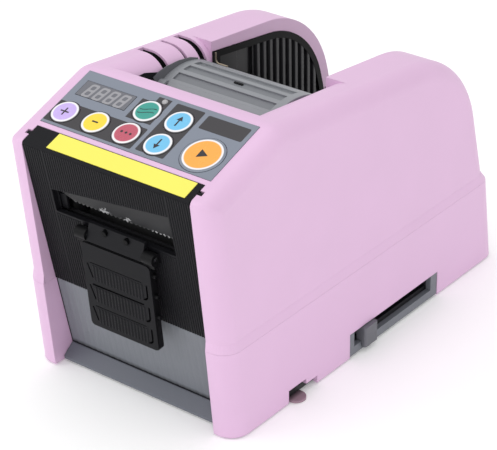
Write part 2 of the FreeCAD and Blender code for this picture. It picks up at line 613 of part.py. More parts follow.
def upper_housing():
    """Two hollow side walls joined by the keypad bridge, moulded in one piece."""
    body = new_body("upper_housing")
    profile = new_sketch(body, "YZ_Plane")
    outline(profile, [
        (f"{LOWER_SEAM_FRONT} + seam_step", "seam_height"),
        (FRONT, "bend_height"),
        (RIDGE, "peak_height"),
        (REAR_CORNER_Y, REAR_CORNER_Z),
        (UPPER_SEAM_REAR, "seam_height"),
    ])
    feature(body, "Pad", profile, f"2 * {UPPER_SIDE}", both_sides=True)
    for corner, radius in ((3, "rear_round"), (2, "peak_round"), (1, "bend_round")):
        rounded(body, radius, corner_of(profile, corner))
    doc.recompute()
    side = size("overall_width") / 2 - size("seam_step")
    seam = size("seam_height")

    def side_outline(edge):
        on_side = all(abs(abs(v.X) - side) < 0.01 for v in edge.Vertexes)
        along_seam = all(abs(v.Z - seam) < 0.01 for v in edge.Vertexes)
        level = abs(edge.Vertexes[0].X - edge.Vertexes[-1].X) < 0.01
        return on_side and level and not along_seam

    rounded(body, "edge_round", side_outline)

    # Room behind the front cover, under the keypad
    chamber = new_sketch(body, "YZ_Plane")
    under = f"panel_plate / cos({TILT})"
    flange_front = f"{BRIDGE_REAR} - wall"
    flange_low = "peak_height - bridge_flange"
    ceiling = f"{RIDGE} - panel_plate - peak_round * tan({TILT} / 2)"
    outline(chamber, [
        (f"{FRONT} - 20", "seam_height - 5"),
        (f"{FRONT} - 20", f"bend_height - 20 * {SLOPE} - {under}"),
        (ceiling, f"bend_height + ({ceiling} - {FRONT}) * {SLOPE} - {under}"),
        (flange_front, f"bend_height + ({ceiling} - {FRONT}) * {SLOPE} - {under}"),
        (flange_front, flange_low),
        (f"{BRIDGE_REAR} + 1", flange_low),
        (f"{BRIDGE_REAR} + 1", "seam_height - 5"),
    ])
    cut(body, chamber, "opening_width", both_sides=True)

    # Notch that the bent part of the cover lies in, and the slots of its pivot tabs
    notch = new_sketch(body, "XY_Plane", PANEL_FRAME)
    rectangle(notch, "-opening_width / 2", "opening_width / 2", "-20", "hood_depth + gap")
    cut(body, notch, "2 * panel_plate + 6", both_sides=True)
    tabs = new_sketch(body, "XY_Plane", PANEL_FRAME)
    slot_half = "(tab_radius + gap)"
    rectangle(tabs, "-opening_width / 2 - tab_reach - gap", "opening_width / 2 + tab_reach + gap",
              f"tab_setback - {slot_half}", f"tab_setback + {slot_half}")
    cut(body, tabs, f"cover_thick / 2 + {slot_half}")

    # Tape bay: first between the rounded shoulders, then open to the back
    shoulders = new_sketch(body, "YZ_Plane")
    rectangle(shoulders, BRIDGE_REAR, SHOULDER_END, "seam_height - 5", "peak_height + 20")
    bay = cut(body, shoulders, "bay_width", both_sides=True)
    half_bay = bay.Length.Value / 2
    front_y = -size("overall_length") / 2 + size("bridge_setback")

    def shoulder(edge):
        on_wall = all(abs(abs(v.X) - half_bay) < 0.01 for v in edge.Vertexes)
        long = abs(edge.Vertexes[0].Y - edge.Vertexes[-1].Y) > size("shoulder_length") / 2
        high = all(v.Z > size("peak_height") - 2 * size("top_fall") for v in edge.Vertexes)
        return on_wall and long and high and all(v.Y > front_y - 0.01 for v in edge.Vertexes)

    rounded(body, "shoulder_round", shoulder)
    rear_bay = new_sketch(body, "YZ_Plane")
    rectangle(rear_bay, f"{SHOULDER_END} - 0.01", "overall_length / 2 + 20",
              "seam_height - 5", "peak_height + 20")
    cut(body, rear_bay, "bay_width", both_sides=True)

    # Hollows of the walls and of the front pillars
    back_skin = f"{BRIDGE_REAR} + wall"
    outer = f"{UPPER_SIDE} - wall"
    pillar_front = f"{LOWER_SEAM_FRONT} + seam_step + {HOLLOW_INSET}"
    pillar_high = f"peak_height - peak_round * tan({TILT}) - {HOLLOW_INSET}"
    wall_inner = "bay_width / 2 + wall"
    pillar_inner = "opening_width / 2 + wall"
    for sign in ("-", ""):
        for front, inner in ((back_skin, f"{wall_inner} + 0.4 * shoulder_round"),
                             (f"{SHOULDER_END} + 2 * gap", wall_inner)):
            hollow = new_sketch(body, "YZ_Plane", along_x(f"{sign}({inner} + {outer}) / 2"))
            shoulder_outline(hollow, front, "seam_height - 5", HOLLOW_INSET, HOLLOW_INSET, HOLLOW_INSET)
            cut(body, hollow, f"{outer} - ({inner})", both_sides=True)
        hollow = new_sketch(body, "YZ_Plane", along_x(f"{sign}({pillar_inner} + {outer}) / 2"))
        outline(hollow, [
            (pillar_front, "seam_height - 5"),
            (pillar_front, f"bend_height - {HOLLOW_INSET}"),
            (RIDGE, pillar_high),
            (f"{back_skin} + 1", pillar_high),
            (f"{back_skin} + 1", "seam_height - 5"),
        ])
        cut(body, hollow, f"{outer} - ({pillar_inner})", both_sides=True)

    # Windows for the bay liners, round at the rear like the outside
    window = new_sketch(body, "YZ_Plane")
    liner_outline(window, "0", "seam_height - 5")
    cut(body, window, "bay_width + 2 * wall + 0.5", both_sides=True)

    # Cross slots of the left shoulder
    slots = new_sketch(body, "YZ_Plane", along_x("-bay_width / 2 + 1"))
    widths = {"slot_first": "slot_width", "slot_second": "slot_narrow", "slot_third": "slot_width"}
    for place, width in widths.items():
        y = f"({BRIDGE_REAR} + {place})"
        rectangle(slots, f"{y} - {width} / 2", f"{y} + {width} / 2",
                  f"{top_line(y)} - slot_depth", f"{top_line(y)} + 10")
    cut(body, slots, "slot_length + 1")

    # Holes of the guide cover's pivots
    pivots = new_sketch(body, "YZ_Plane")
    circle(pivots, GUIDE_PIVOT_Y, GUIDE_PIVOT_Z, "guide_pivot_radius + fit")
    cut(body, pivots, "bay_width + 2 * wall + 0.5", both_sides=True)

    # Keypad: recess for the overlay, pockets and stem holes of the keys, display and light
    recess = new_sketch(body, "XY_Plane", PANEL_FRAME)
    rectangle(recess, "-overlay_width / 2 - gap / 2", "overlay_width / 2 + gap / 2",
              "overlay_setback - gap / 2", "overlay_setback + overlay_length + gap / 2")
    cut(body, recess, "overlay_sink")
    pockets = new_sketch(body, "XY_Plane", PANEL_FRAME)
    stems = new_sketch(body, "XY_Plane", PANEL_FRAME)
    for name, x, row, radius in KEYS:
        circle(pockets, x, row, f"{radius} + gap")
        circle(stems, x, row, "stem_radius + gap")
    circle(stems, "led_x", "led_row", "led_radius + fit")
    rectangle(stems, "display_x - display_width / 2 - gap", "display_x + display_width / 2 + gap",
              "display_row - display_height / 2 - gap", "display_row + display_height / 2 + gap")
    cut(body, pockets, KEY_POCKET)
    cut(body, stems, "panel_plate + 3")
    posts = new_sketch(body, "XY_Plane", f"{PANEL_FRAME} * {along_x('-board_drop')}")
    for x, row in BOARD_POSTS:
        circle(posts, x, row, "post_radius")
    feature(body, "Pad", posts, "board_drop - panel_plate / 2")
    return body


def liner_outline(sketch, grow, low):
    """Window for a bay liner in side view, grown by a margin."""
    shoulder_outline(sketch, f"{SHOULDER_END} + 4 - ({grow})", low, f"liner_top_rim - ({grow})",
                     f"(liner_top_rim + liner_rear_rim) / 2 - ({grow})", f"liner_rear_rim - ({grow})")


def lower_housing():
    """Skirt round the base: sides, back and the feet of the front pillars."""
    body = new_body("lower_housing")
    profile = new_sketch(body, "YZ_Plane")
    front_foot = f"{FRONT} + front_overhang * (bend_height - foot_gap) / bend_height"
    outline(profile, [
        (front_foot, "foot_gap"),
        (LOWER_SEAM_FRONT, "seam_height"),
        ("overall_length / 2 - rear_lean", "seam_height"),
        ("overall_length / 2", "foot_gap"),
    ])
    feature(body, "Pad", profile, "overall_width", both_sides=True)
    side = size("overall_width") / 2

    def upright(edge):
        at_side = all(abs(abs(v.X) - side) < 0.01 for v in edge.Vertexes)
        return at_side and abs(edge.Vertexes[0].Z - edge.Vertexes[-1].Z) > size("seam_height") / 2

    cheek_end = f"{front_foot} + cheek_depth"
    room = new_sketch(body, "YZ_Plane")
    rear_low = "overall_length / 2 - wall + rear_lean / (seam_height - foot_gap)"
    outline(room, [
        (cheek_end, "foot_gap - 1"),
        (cheek_end, "seam_height + 1"),
        ("overall_length / 2 - rear_lean - wall - rear_lean / (seam_height - foot_gap)", "seam_height + 1"),
        (rear_low, "foot_gap - 1"),
    ])
    cut(body, room, "overall_width - 2 * wall", both_sides=True)
    inner = side - size("wall")

    def rear_inner(edge):
        at_side = all(abs(abs(v.X) - inner) < 0.01 and v.Y > 0 for v in edge.Vertexes)
        return at_side and abs(edge.Vertexes[0].Z - edge.Vertexes[-1].Z) > size("seam_height") / 2

    rounded(body, "edge_round + seam_step - wall", rear_inner)
    rounded(body, "edge_round + seam_step", upright)
    opening = new_sketch(body, "YZ_Plane")
    rectangle(opening, f"{FRONT} - 20", f"{cheek_end} + 1", "foot_gap - 1", "seam_height + 1")
    cut(body, opening, "opening_width", both_sides=True)
    pillar_inner = "opening_width / 2 + wall"
    pillar_outer = f"{SIDE} - wall"
    for sign in ("-", ""):
        hollow = new_sketch(body, "YZ_Plane", along_x(f"{sign}(({pillar_inner}) + {pillar_outer}) / 2"))
        rectangle(hollow, f"{front_foot} + {HOLLOW_INSET}", f"{cheek_end} + 1",
                  "foot_gap - 1", "seam_height + 1")
        cut(body, hollow, f"{pillar_outer} - ({pillar_inner})", both_sides=True)

    # Notches beside the front feet, and the window of the rail in the right side
    notches = new_sketch(body, "YZ_Plane")
    notch_rear = "foot_y + notch_width / 2"
    outline(notches, [
        ("foot_y - notch_width / 2", "foot_gap - 1"),
        ("foot_y - notch_width / 2", "notch_height"),
        (notch_rear, "notch_height"),
        (notch_rear, "notch_step_height"),
        (f"{notch_rear} + notch_step", "notch_step_height"),
        (f"{notch_rear} + notch_step", "foot_gap - 1"),
    ])
    cut(body, notches, "overall_width + 2", both_sides=True)
    rail = new_sketch(body, "YZ_Plane", along_x(f"{SIDE} - wall / 2"))
    rectangle(rail, "rail_front", "rail_rear", "foot_gap - 1", "rail_top")
    cut(body, rail, "wall + 2", both_sides=True)

    # Holes for the inlet and the switch in the back
    sockets = new_sketch(body, "XZ_Plane", along_x("-overall_length / 2 + rear_lean + 6"))
    for name in ("inlet", "switch"):
        rectangle(sockets, f"{name}_x - {name}_width / 2 - gap", f"{name}_x + {name}_width / 2 + gap",
                  f"socket_z - {name}_height / 2 - gap", f"socket_z + {name}_height / 2 + gap")
    cut(body, sockets, "rear_lean + 20")

    # Screw bosses on the side walls
    bosses = new_sketch(body, "XY_Plane", along_x(FLOOR_TOP))
    bores = new_sketch(body, "XY_Plane", along_x(FLOOR_TOP))
    for sign in ("-", ""):
        for y in ("screw_front_y", "screw_rear_y"):
            circle(bosses, f"{sign}screw_x", y, "screw_boss_radius")
            circle(bores, f"{sign}screw_x", y, "screw_radius + fit")
    feature(body, "Pad", bosses, f"screw_boss_top - {FLOOR_TOP}")
    cut(body, bores, f"screw_boss_top - {FLOOR_TOP} - 3", flip=True)
    return body


def base_plate():
    """Tray that closes the bottom, with the sloping lip between the pillars."""
    body = new_body("base_plate")
    plate = new_sketch(body, "XY_Plane", along_x(UNDERSIDE))
    front_foot = f"{FRONT} + front_overhang * (bend_height - foot_gap) / bend_height"
    shoulder = f"{front_foot} + cheek_depth + gap"
    narrow = "opening_width / 2 - gap"
    wide = f"{SIDE} - wall - gap"
    rear = "overall_length / 2 - wall - rear_lean * (base_thick + 1) / seam_height - gap"
    outline(plate, [
        (f"-({narrow})", CREASE_Y), (narrow, CREASE_Y), (narrow, shoulder), (wide, shoulder),
        (wide, rear), (f"-({wide})", rear), (f"-({wide})", shoulder), (f"-({narrow})", shoulder),
    ])
    feature(body, "Pad", plate, "base_thick")
    rear_y = size("overall_length") / 2 - 3 * size("wall")

    def rear_upright(edge):
        upright = abs(edge.Vertexes[0].Z - edge.Vertexes[-1].Z) > size("base_thick") / 2
        return upright and all(v.Y > rear_y for v in edge.Vertexes)

    rounded(body, "edge_round + seam_step - wall", rear_upright)
    lip = new_sketch(body, "YZ_Plane")
    outline(lip, [
        (f"{CREASE_Y} + 4", UNDERSIDE),
        (f"{CREASE_Y} + 4", CREASE_Z),
        (CREASE_Y, CREASE_Z),
        (f"{CREASE_Y} - lip_reach", f"{CREASE_Z} - lip_fall"),
        (f"{CREASE_Y} - lip_reach", UNDERSIDE),
    ])
    feature(body, "Pad", lip, "opening_width - 2 * gap", both_sides=True)
    holes = new_sketch(body, "XY_Plane", along_x(f"{FLOOR_TOP} + 1"))
    heads = new_sketch(body, "XY_Plane", along_x(UNDERSIDE))
    for sign in ("-", ""):
        for x, y in (("foot_x", "foot_y"), ("rear_foot_x", "rear_foot_y")):
            circle(holes, sign + x, y, "foot_stem_radius + fit")
        for y in ("screw_front_y", "screw_rear_y"):
            circle(holes, f"{sign}screw_x", y, "screw_radius + gap")
            circle(heads, f"{sign}screw_x", y, "screw_head_radius + gap")
    cut(body, holes, "base_thick + 2")
    cut(body, heads, "base_thick / 2", flip=True)
    return body


def lower_front_panel():
    """Leaning panel between the base lip and the front cover."""
    half = "opening_width / 2 - gap"
    points = box_points(f"-({half})", half, "-lip_drop + gap", "-cover_length - gap")
    frame = f"{COVER_FRAME} * {along_x('-front_panel_sink')}"
    return slab("lower_front_panel", frame, points, "cover_thick", flip=True)


def front_cover():
    """Front cover bent back at the top, with the outlet and two pivot tabs."""
    half = "opening_width / 2 - gap"
    body = new_body("front_cover", COVER_FRAME)
    bend = f"({TILT} - 90 - cover_lean)"
    hood = (f"hood_depth * cos({bend})", f"hood_depth * sin({bend})")
    profile = new_sketch(body, "YZ_Plane")
    outline(profile, [
        ("-cover_length", "-cover_thick"), (f"cover_thick * tan({bend} / 2)", "-cover_thick"),
        (f"{hood[0]} + cover_thick * sin({bend})", f"{hood[1]} - cover_thick * cos({bend})"), hood,
        ("0", "0"), ("-cover_length", "0"),
    ])
    feature(body, "Pad", profile, f"2 * ({half})", both_sides=True)
    rounded(body, "cover_bend_round", corner_of(profile, 4))
    outlet = new_sketch(body, "XY_Plane")
    outline(outlet, [
        ("-outlet_left", "-outlet_low"), ("outlet_right", "-outlet_low"),
        ("outlet_right", "-outlet_right_high"), ("-outlet_left", "-outlet_left_high"),
    ])
    cut(body, outlet, "cover_thick + 1")
    tab_y = f"tab_setback * cos({bend}) + cover_thick / 2 * sin({bend})"
    tab_z = f"tab_setback * sin({bend}) - cover_thick / 2 * cos({bend})"
    for sign in ("-", ""):
        tab = new_sketch(body, "YZ_Plane", along_x(f"{sign}({half} + tab_reach / 2 - 0.5)"))
        circle(tab, tab_y, tab_z, "tab_radius")
        feature(body, "Pad", tab, "tab_reach + 1", both_sides=True)
    return body


def accent_strip():
    points = box_points("-strip_left", "strip_right", "strip_near", "strip_far")
    return slab("accent_strip", PANEL_FRAME, points, "strip_thick")


CHUTE_FRAME = f"{COVER_FRAME} * {at('chute_shift')}"
FLAP_FRAME = f"{CHUTE_FRAME} * placement(vector(0; -flap_axis_drop; flap_axis_proud); " \
             "rotation(vector(1; 0; 0); -flap_hang))"
PIN_END = "(bracket_pin_proud - 2 * bracket_pin_radius)"


def outlet_bracket():
    """Sloping tongue under the outlet that carries the flap's hinge pin."""
    body = new_body("outlet_bracket", CHUTE_FRAME)
    profile = new_sketch(body, "YZ_Plane")
    outline(profile, [("-tongue_high", "0"), ("-tongue_high", "tongue_lip"), ("-tongue_low", "tongue_proud"),
                      ("-tongue_low", "0")])
    feature(body, "Pad", profile, "tongue_width", both_sides=True)
    bore = new_sketch(body, "YZ_Plane")
    circle(bore, "-flap_axis_drop", "flap_axis_proud", "flap_pin_radius + fit")
    cut(body, bore, "tongue_width + 2", both_sides=True)
    sockets = new_sketch(body, "XY_Plane", along_x(f"{PIN_END} + 2 * tongue_proud"))
    for sign in ("-", ""):
        circle(sockets, f"{sign}bracket_pin_spacing / 2", "-bracket_pin_drop", "bracket_pin_radius + fit")
    cut(body, sockets, "2 * tongue_proud")
    return body


def bracket_pins():
    """Two pins that stand in the sockets of the bracket."""
    pins = []
    for sign in ("-", ""):
        pin = doc.addObject("Part::Cylinder", "bracket_pin")
        pin.setExpression("Radius", tie("bracket_pin_radius"))
        pin.setExpression("Height", tie(f"bracket_pin_proud - {PIN_END}"))
        spot = at(f"{sign}bracket_pin_spacing / 2", "-bracket_pin_drop", PIN_END)
        pin.setExpression("Placement", tie(f"{CHUTE_FRAME} * {spot}"))
        pins.append(pin)
    return group("bracket_pins", pins)


def outlet_flap():
    """Ladder-like chute that hangs from two hinge barrels below the outlet."""
    half = "flap_width / 2"
    body = slab("outlet_flap", f"{FLAP_FRAME} * {along_x('-flap_thick / 2')}",
                box_points(f"-{half}", half, "-flap_length", "-flap_top"), "flap_thick")
    low_end = size("flap_length") - size("flap_corner")
    rounded(body, "flap_corner", lambda edge: all(v.Y < -low_end for v in edge.Vertexes)
            and abs(edge.Vertexes[0].Z - edge.Vertexes[-1].Z) > size("flap_thick") / 2)
    for sign in ("-", ""):
        middle = f"{sign}(tongue_width / 2 + gap + flap_ear_width / 2)"
        barrel = new_sketch(body, "YZ_Plane", along_x(middle))
        circle(barrel, "0", "flap_thick / 2", "flap_ear_radius")
        feature(body, "Pad", barrel, "flap_ear_width", both_sides=True)
        arm = new_sketch(body, "YZ_Plane", along_x(middle))
        rectangle(arm, "-flap_top - 1", "0", "0", "flap_thick")
        feature(body, "Pad", arm, "flap_ear_width", both_sides=True)
    pegs = new_sketch(body, "YZ_Plane", along_x(f"{half} - flap_peg_reach"))
    for number in range(round(size("flap_pegs"))):
        circle(pegs, f"-(flap_peg_first + {number} * flap_peg_pitch)", "flap_thick / 2", "flap_peg_radius")
    feature(body, "Pad", pegs, "2 * flap_peg_reach")
    bore = new_sketch(body, "YZ_Plane")
    circle(bore, "0", "flap_thick / 2", "flap_pin_radius + fit")
    cut(body, bore, "flap_width * 2", both_sides=True)
    fields = new_sketch(body, "XY_Plane", along_x("flap_thick"))
    margin = "(flap_rung_pitch - flap_field_height)"
    for number in range(round(size("flap_rungs"))):
        low = f"-flap_length + {margin} + {number} * flap_rung_pitch"
        rectangle(fields, "-flap_field_width / 2", "flap_field_width / 2", low, f"{low} + flap_field_height")
    cut(body, fields, "flap_field_depth")
    field_floor = size("flap_thick") - size("flap_field_depth")

    def field_corner(edge):
        ends = sorted(v.Z for v in edge.Vertexes)
        return abs(ends[0] - field_floor) < 0.01 and abs(ends[-1] - size("flap_thick")) < 0.01

    rounded(body, "flap_field_round", field_corner)
    return body


def flap_hinge_pin():
    reach = "(tongue_width / 2 + flap_ear_width)"
    return rod("flap_hinge_pin", "flap_pin_radius", f"-{reach}", reach,
               "-flap_axis_drop", "flap_axis_proud", CHUTE_FRAME)


def panel_overlay():
    """Keypad sheet with holes for keys, display and light."""
    body = slab("panel_overlay", f"{PANEL_FRAME} * {along_x('-overlay_sink')}",
                box_points("-overlay_width / 2", "overlay_width / 2", "overlay_setback",
                           "overlay_setback + overlay_length"), "overlay_thick")
    holes = new_sketch(body, "XY_Plane", along_x("overlay_thick"))
    for name, x, row, radius in KEYS:
        circle(holes, x, row, f"{radius} + gap")
    circle(holes, "led_x", "led_row", "led_radius + fit")
    rectangle(holes, "display_x - display_width / 2 - gap", "display_x + display_width / 2 + gap",
              "display_row - display_height / 2 - gap", "display_row + display_height / 2 + gap")
    cut(body, holes, "overlay_thick + 1")
    return body


def key(name, x, row, radius):
    """Round key: domed cap, skirt in its pocket and a stem towards its switch."""
    body = new_body(name, f"{PANEL_FRAME} * placement(vector({x}; {row}; 0); rotation(vector(0; 1; 0); -90))")
    sketch = new_sketch(body, "XY_Plane")
    outline(sketch, [
        ("-stem_end", "0"), ("-stem_end", "stem_radius"), ("-key_skirt", "stem_radius"), ("-key_skirt", radius),
        ("key_proud * 0.4", radius), ("key_proud * 0.8", f"{radius} - 0.7"), ("key_proud", f"{radius} * 0.5"),
        ("key_proud", "0"),
    ])
    turn = body.newObject("PartDesign::Revolution", f"{name}_turn")
    turn.Profile = sketch
    turn.ReferenceAxis = (sketch, ["H_Axis"])
    turn.Angle = 360
    body.Tip = turn
    return body


def key_switches():
    switches = []
    for name, x, row, radius in KEYS:
        switch = doc.addObject("Part::Box", f"{name}_switch")
        for side in ("Length", "Width"):
            switch.setExpression(side, tie("switch_side_length"))
        switch.setExpression("Height", tie("board_drop - stem_end - key_travel - 0.1"))
        spot = at(f"{x} - switch_side_length / 2", f"{row} - switch_side_length / 2", "-board_drop")
        switch.setExpression("Placement", tie(f"{PANEL_FRAME} * {spot}"))
        switches.append(switch)
    return group("key_switches", switches)


def control_board():
    frame = f"{PANEL_FRAME} * {along_x('-board_drop')}"
    half = "opening_width / 2 - 4 * gap"
    return slab("control_board", frame,
                box_points(f"-({half})", half, "overlay_setback + 2 * gap",
                           "overlay_setback + overlay_length - 2 * gap"), "board_thick", flip=True)


def display_pieces():
    """Dark window in the overlay and the four-digit module under it."""
    points = box_points("display_x - display_width / 2", "display_x + display_width / 2",
                        "display_row - display_height / 2", "display_row + display_height / 2")
    window = slab("display_window", f"{PANEL_FRAME} * {along_x('-0.9')}", points, "1.2")
    module = slab("display_module", f"{PANEL_FRAME} * {along_x('-board_drop')}", points, "board_drop - 0.9")
    return [window, module]


def status_led():
    return turned("status_led", [
        ("-board_drop", "0"), ("-board_drop", "led_radius"), ("0.3", "led_radius"),
        ("0.8", "led_radius * 0.8"), ("1.1", "led_radius * 0.4"), ("1.1", "0"),
    ], f"{PANEL_FRAME} * placement(vector(led_x; led_row; 0); rotation(vector(0; 1; 0); -90))")


# Guide cover: its pivot lies in the thickness of the arch
PIVOT_RADIUS = "(guide_radius - guide_thick / 2)"
GUIDE_PIVOT_Y = f"(guide_y + {PIVOT_RADIUS} * cos(guide_pivot_turn))"
GUIDE_PIVOT_Z = f"(guide_z + {PIVOT_RADIUS} * sin(guide_pivot_turn))"
GUIDE_HALF = "(bay_width / 2 - guide_side_gap)"
GUIDE_ROLLER_Z = "(guide_z + guide_radius - guide_roller_drop)"


def radial(angle, distance):
    """Sketch offset, from the XZ plane, to a plane square to a radius of the arch."""
    spot = f"vector(0; ({distance}) * sin({angle}); -({distance}) * cos({angle}))"
    return f"placement({spot}; rotation(vector(1; 0; 0); {angle}))"


def guide_cover():
    """Arched cover over the tape path, with channels along it and two pivot bosses."""
    body = new_body("guide_cover", turned_at("guide_y", "guide_z", "guide_start"))
    section = new_sketch(body, "XY_Plane")
    rectangle(section, f"-{GUIDE_HALF}", GUIDE_HALF, "guide_radius - guide_thick", "guide_radius")
    arch = body.newObject("PartDesign::Revolution", "guide_cover_arch")
    arch.Profile = section
    arch.ReferenceAxis = (section, ["H_Axis"])
    arch.setExpression("Angle", tie("guide_span"))
    body.Tip = arch
    for sign in ("-", ""):
        boss = new_sketch(body, "YZ_Plane", along_x(f"{sign}({GUIDE_HALF} - 2)"))
        turn = "(guide_pivot_turn - guide_start)"
        circle(boss, f"{PIVOT_RADIUS} * cos({turn})", f"{PIVOT_RADIUS} * sin({turn})", "guide_boss_radius")
        feature(body, "Pad", boss, "4", both_sides=True)
        ear = new_sketch(body, "YZ_Plane", along_x(f"{sign}({GUIDE_HALF} - 1.5)"))
        up = "(90 - guide_start)"
        reach_in = "guide_radius - guide_roller_drop - 3"
        reach_out = "guide_radius - guide_thick / 2"
        corners = []
        for reach, side in ((reach_in, "-"), (reach_out, "-"), (reach_out, ""), (reach_in, "")):
            across = f"{side}guide_roller_radius"
            corners.append((f"({reach}) * cos({up}) - ({across}) * sin({up})",
                            f"({reach}) * sin({up}) + ({across}) * cos({up})"))
        outline(ear, corners)
        feature(body, "Pad", ear, "3", both_sides=True)
    channel = new_sketch(body, "XZ_Plane", radial("guide_channel_first", "guide_radius - guide_channel_depth"))
    rectangle(channel, f"-{GUIDE_HALF} + guide_rim", f"{GUIDE_HALF} - guide_rim",
              "-guide_channel_width / 2", "guide_channel_width / 2")
    pocket = cut(body, channel, "guide_channel_depth + 3")
    pattern = body.newObject("PartDesign::PolarPattern", "guide_cover_channels")
    pattern.Originals = [pocket]
    x_axis = [item for item in body.Origin.OriginFeatures if item.Role == "X_Axis"][0]
    pattern.Axis = (x_axis, [""])
    pattern.setExpression("Angle", tie("guide_channel_step * (guide_channels - 1)"))
    pattern.setExpression("Occurrences", tie("guide_channels"))
    body.Tip = pattern
    sight = new_sketch(body, "XZ_Plane", radial("guide_slot_turn", "guide_radius - 2 * guide_thick"))
    rectangle(sight, "guide_slot_shift - guide_slot_length / 2", "guide_slot_shift + guide_slot_length / 2",
              "-guide_slot_width / 2", "guide_slot_width / 2")
    cut(body, sight, "3 * guide_thick")
    seam = new_sketch(body, "XZ_Plane", radial("guide_seam_turn", "guide_radius - guide_seam_width"))
    rectangle(seam, f"-{GUIDE_HALF} + guide_rim", "guide_seam_end",
              "-guide_seam_width / 2", "guide_seam_width / 2")
    cut(body, seam, "guide_thick")
    holes = new_sketch(body, "YZ_Plane")
    turn = "(guide_pivot_turn - guide_start)"
    circle(holes, f"{PIVOT_RADIUS} * cos({turn})", f"{PIVOT_RADIUS} * sin({turn})", "guide_pivot_radius + fit")
    up = "(90 - guide_start)"
    roller = "guide_radius - guide_roller_drop"
    circle(holes, f"({roller}) * cos({up})", f"({roller}) * sin({up})", "guide_shaft_radius + fit")
    cut(body, holes, "bay_width", both_sides=True)
    return body


def guide_pieces():
    """Pivot pins, the roller under the arch and its shaft."""
    pins = []
    for sign in ("-", ""):
        end = f"{sign}({GUIDE_HALF} - 4)"
        tip = f"{sign}(bay_width / 2 + wall - 0.2)"
        low, high = (tip, end) if sign else (end, tip)
        pins.append(rod(f"guide_pin{'_left' if sign else '_right'}", "guide_pivot_radius", low, high,
                        GUIDE_PIVOT_Y, GUIDE_PIVOT_Z))
    roller_half = f"{GUIDE_HALF} - 3 - gap"
    roller = turned("guide_roller", [
        (f"-({roller_half})", "guide_shaft_radius + fit"), (f"-({roller_half})", "guide_roller_radius"),
        (roller_half, "guide_roller_radius"), (roller_half, "guide_shaft_radius + fit"),
    ], at("0", "guide_y", GUIDE_ROLLER_Z))
    shaft = rod("guide_roller_shaft", "guide_shaft_radius", f"-{GUIDE_HALF}", GUIDE_HALF,
                "guide_y", GUIDE_ROLLER_Z)
    return [group("guide_cover_pins", pins), roller, shaft]


def tape_guide_wire():
    """Short bent wire on the rear edge of the guide cover, standing up at its left end."""
    reach = "(guide_radius + wire_radius + fit / 2)"
    turn = "(guide_start + 5)"
    body = new_body("tape_guide_wire", at("wire_left - bay_width / 2", f"guide_y + {reach} * cos({turn})",
                                          f"guide_z + {reach} * sin({turn})"))
    path = new_sketch(body, "XZ_Plane")
    path.addGeometry(Part.LineSegment(V(40, 0, 0), V(3, 0, 0)), False)
    path.addGeometry(Part.ArcOfCircle(Part.Circle(V(3, 3, 0), V(0, 0, 1), 3), math.pi, 1.5 * math.pi), False)
    path.addGeometry(Part.LineSegment(V(0, 3, 0), V(0, 8, 0)), False)
    path.addConstraint(Sketcher.Constraint("Tangent", 0, 2, 1, 2))
    path.addConstraint(Sketcher.Constraint("Tangent", 1, 1, 2, 1))
    for kind, line, end, text in (("DistanceX", 0, 1, "wire_length"), ("DistanceY", 0, 1, "0"),
                                  ("DistanceX", 0, 2, "wire_bend"), ("DistanceY", 0, 2, "0"),
                                  ("DistanceX", 2, 1, "0"), ("DistanceX", 2, 2, "0"),
                                  ("DistanceY", 2, 2, "wire_bend + wire_rise")):
        dimension(path, kind, line, end, text)
    ring = new_sketch(body, "YZ_Plane", along_x("wire_length"))
    circle(ring, "0", "0", "wire_radius")
    pipe = body.newObject("PartDesign::AdditivePipe", "tape_guide_wire_pipe")
    pipe.Profile = ring
    pipe.Spine = path
    body.Tip = pipe
    return body


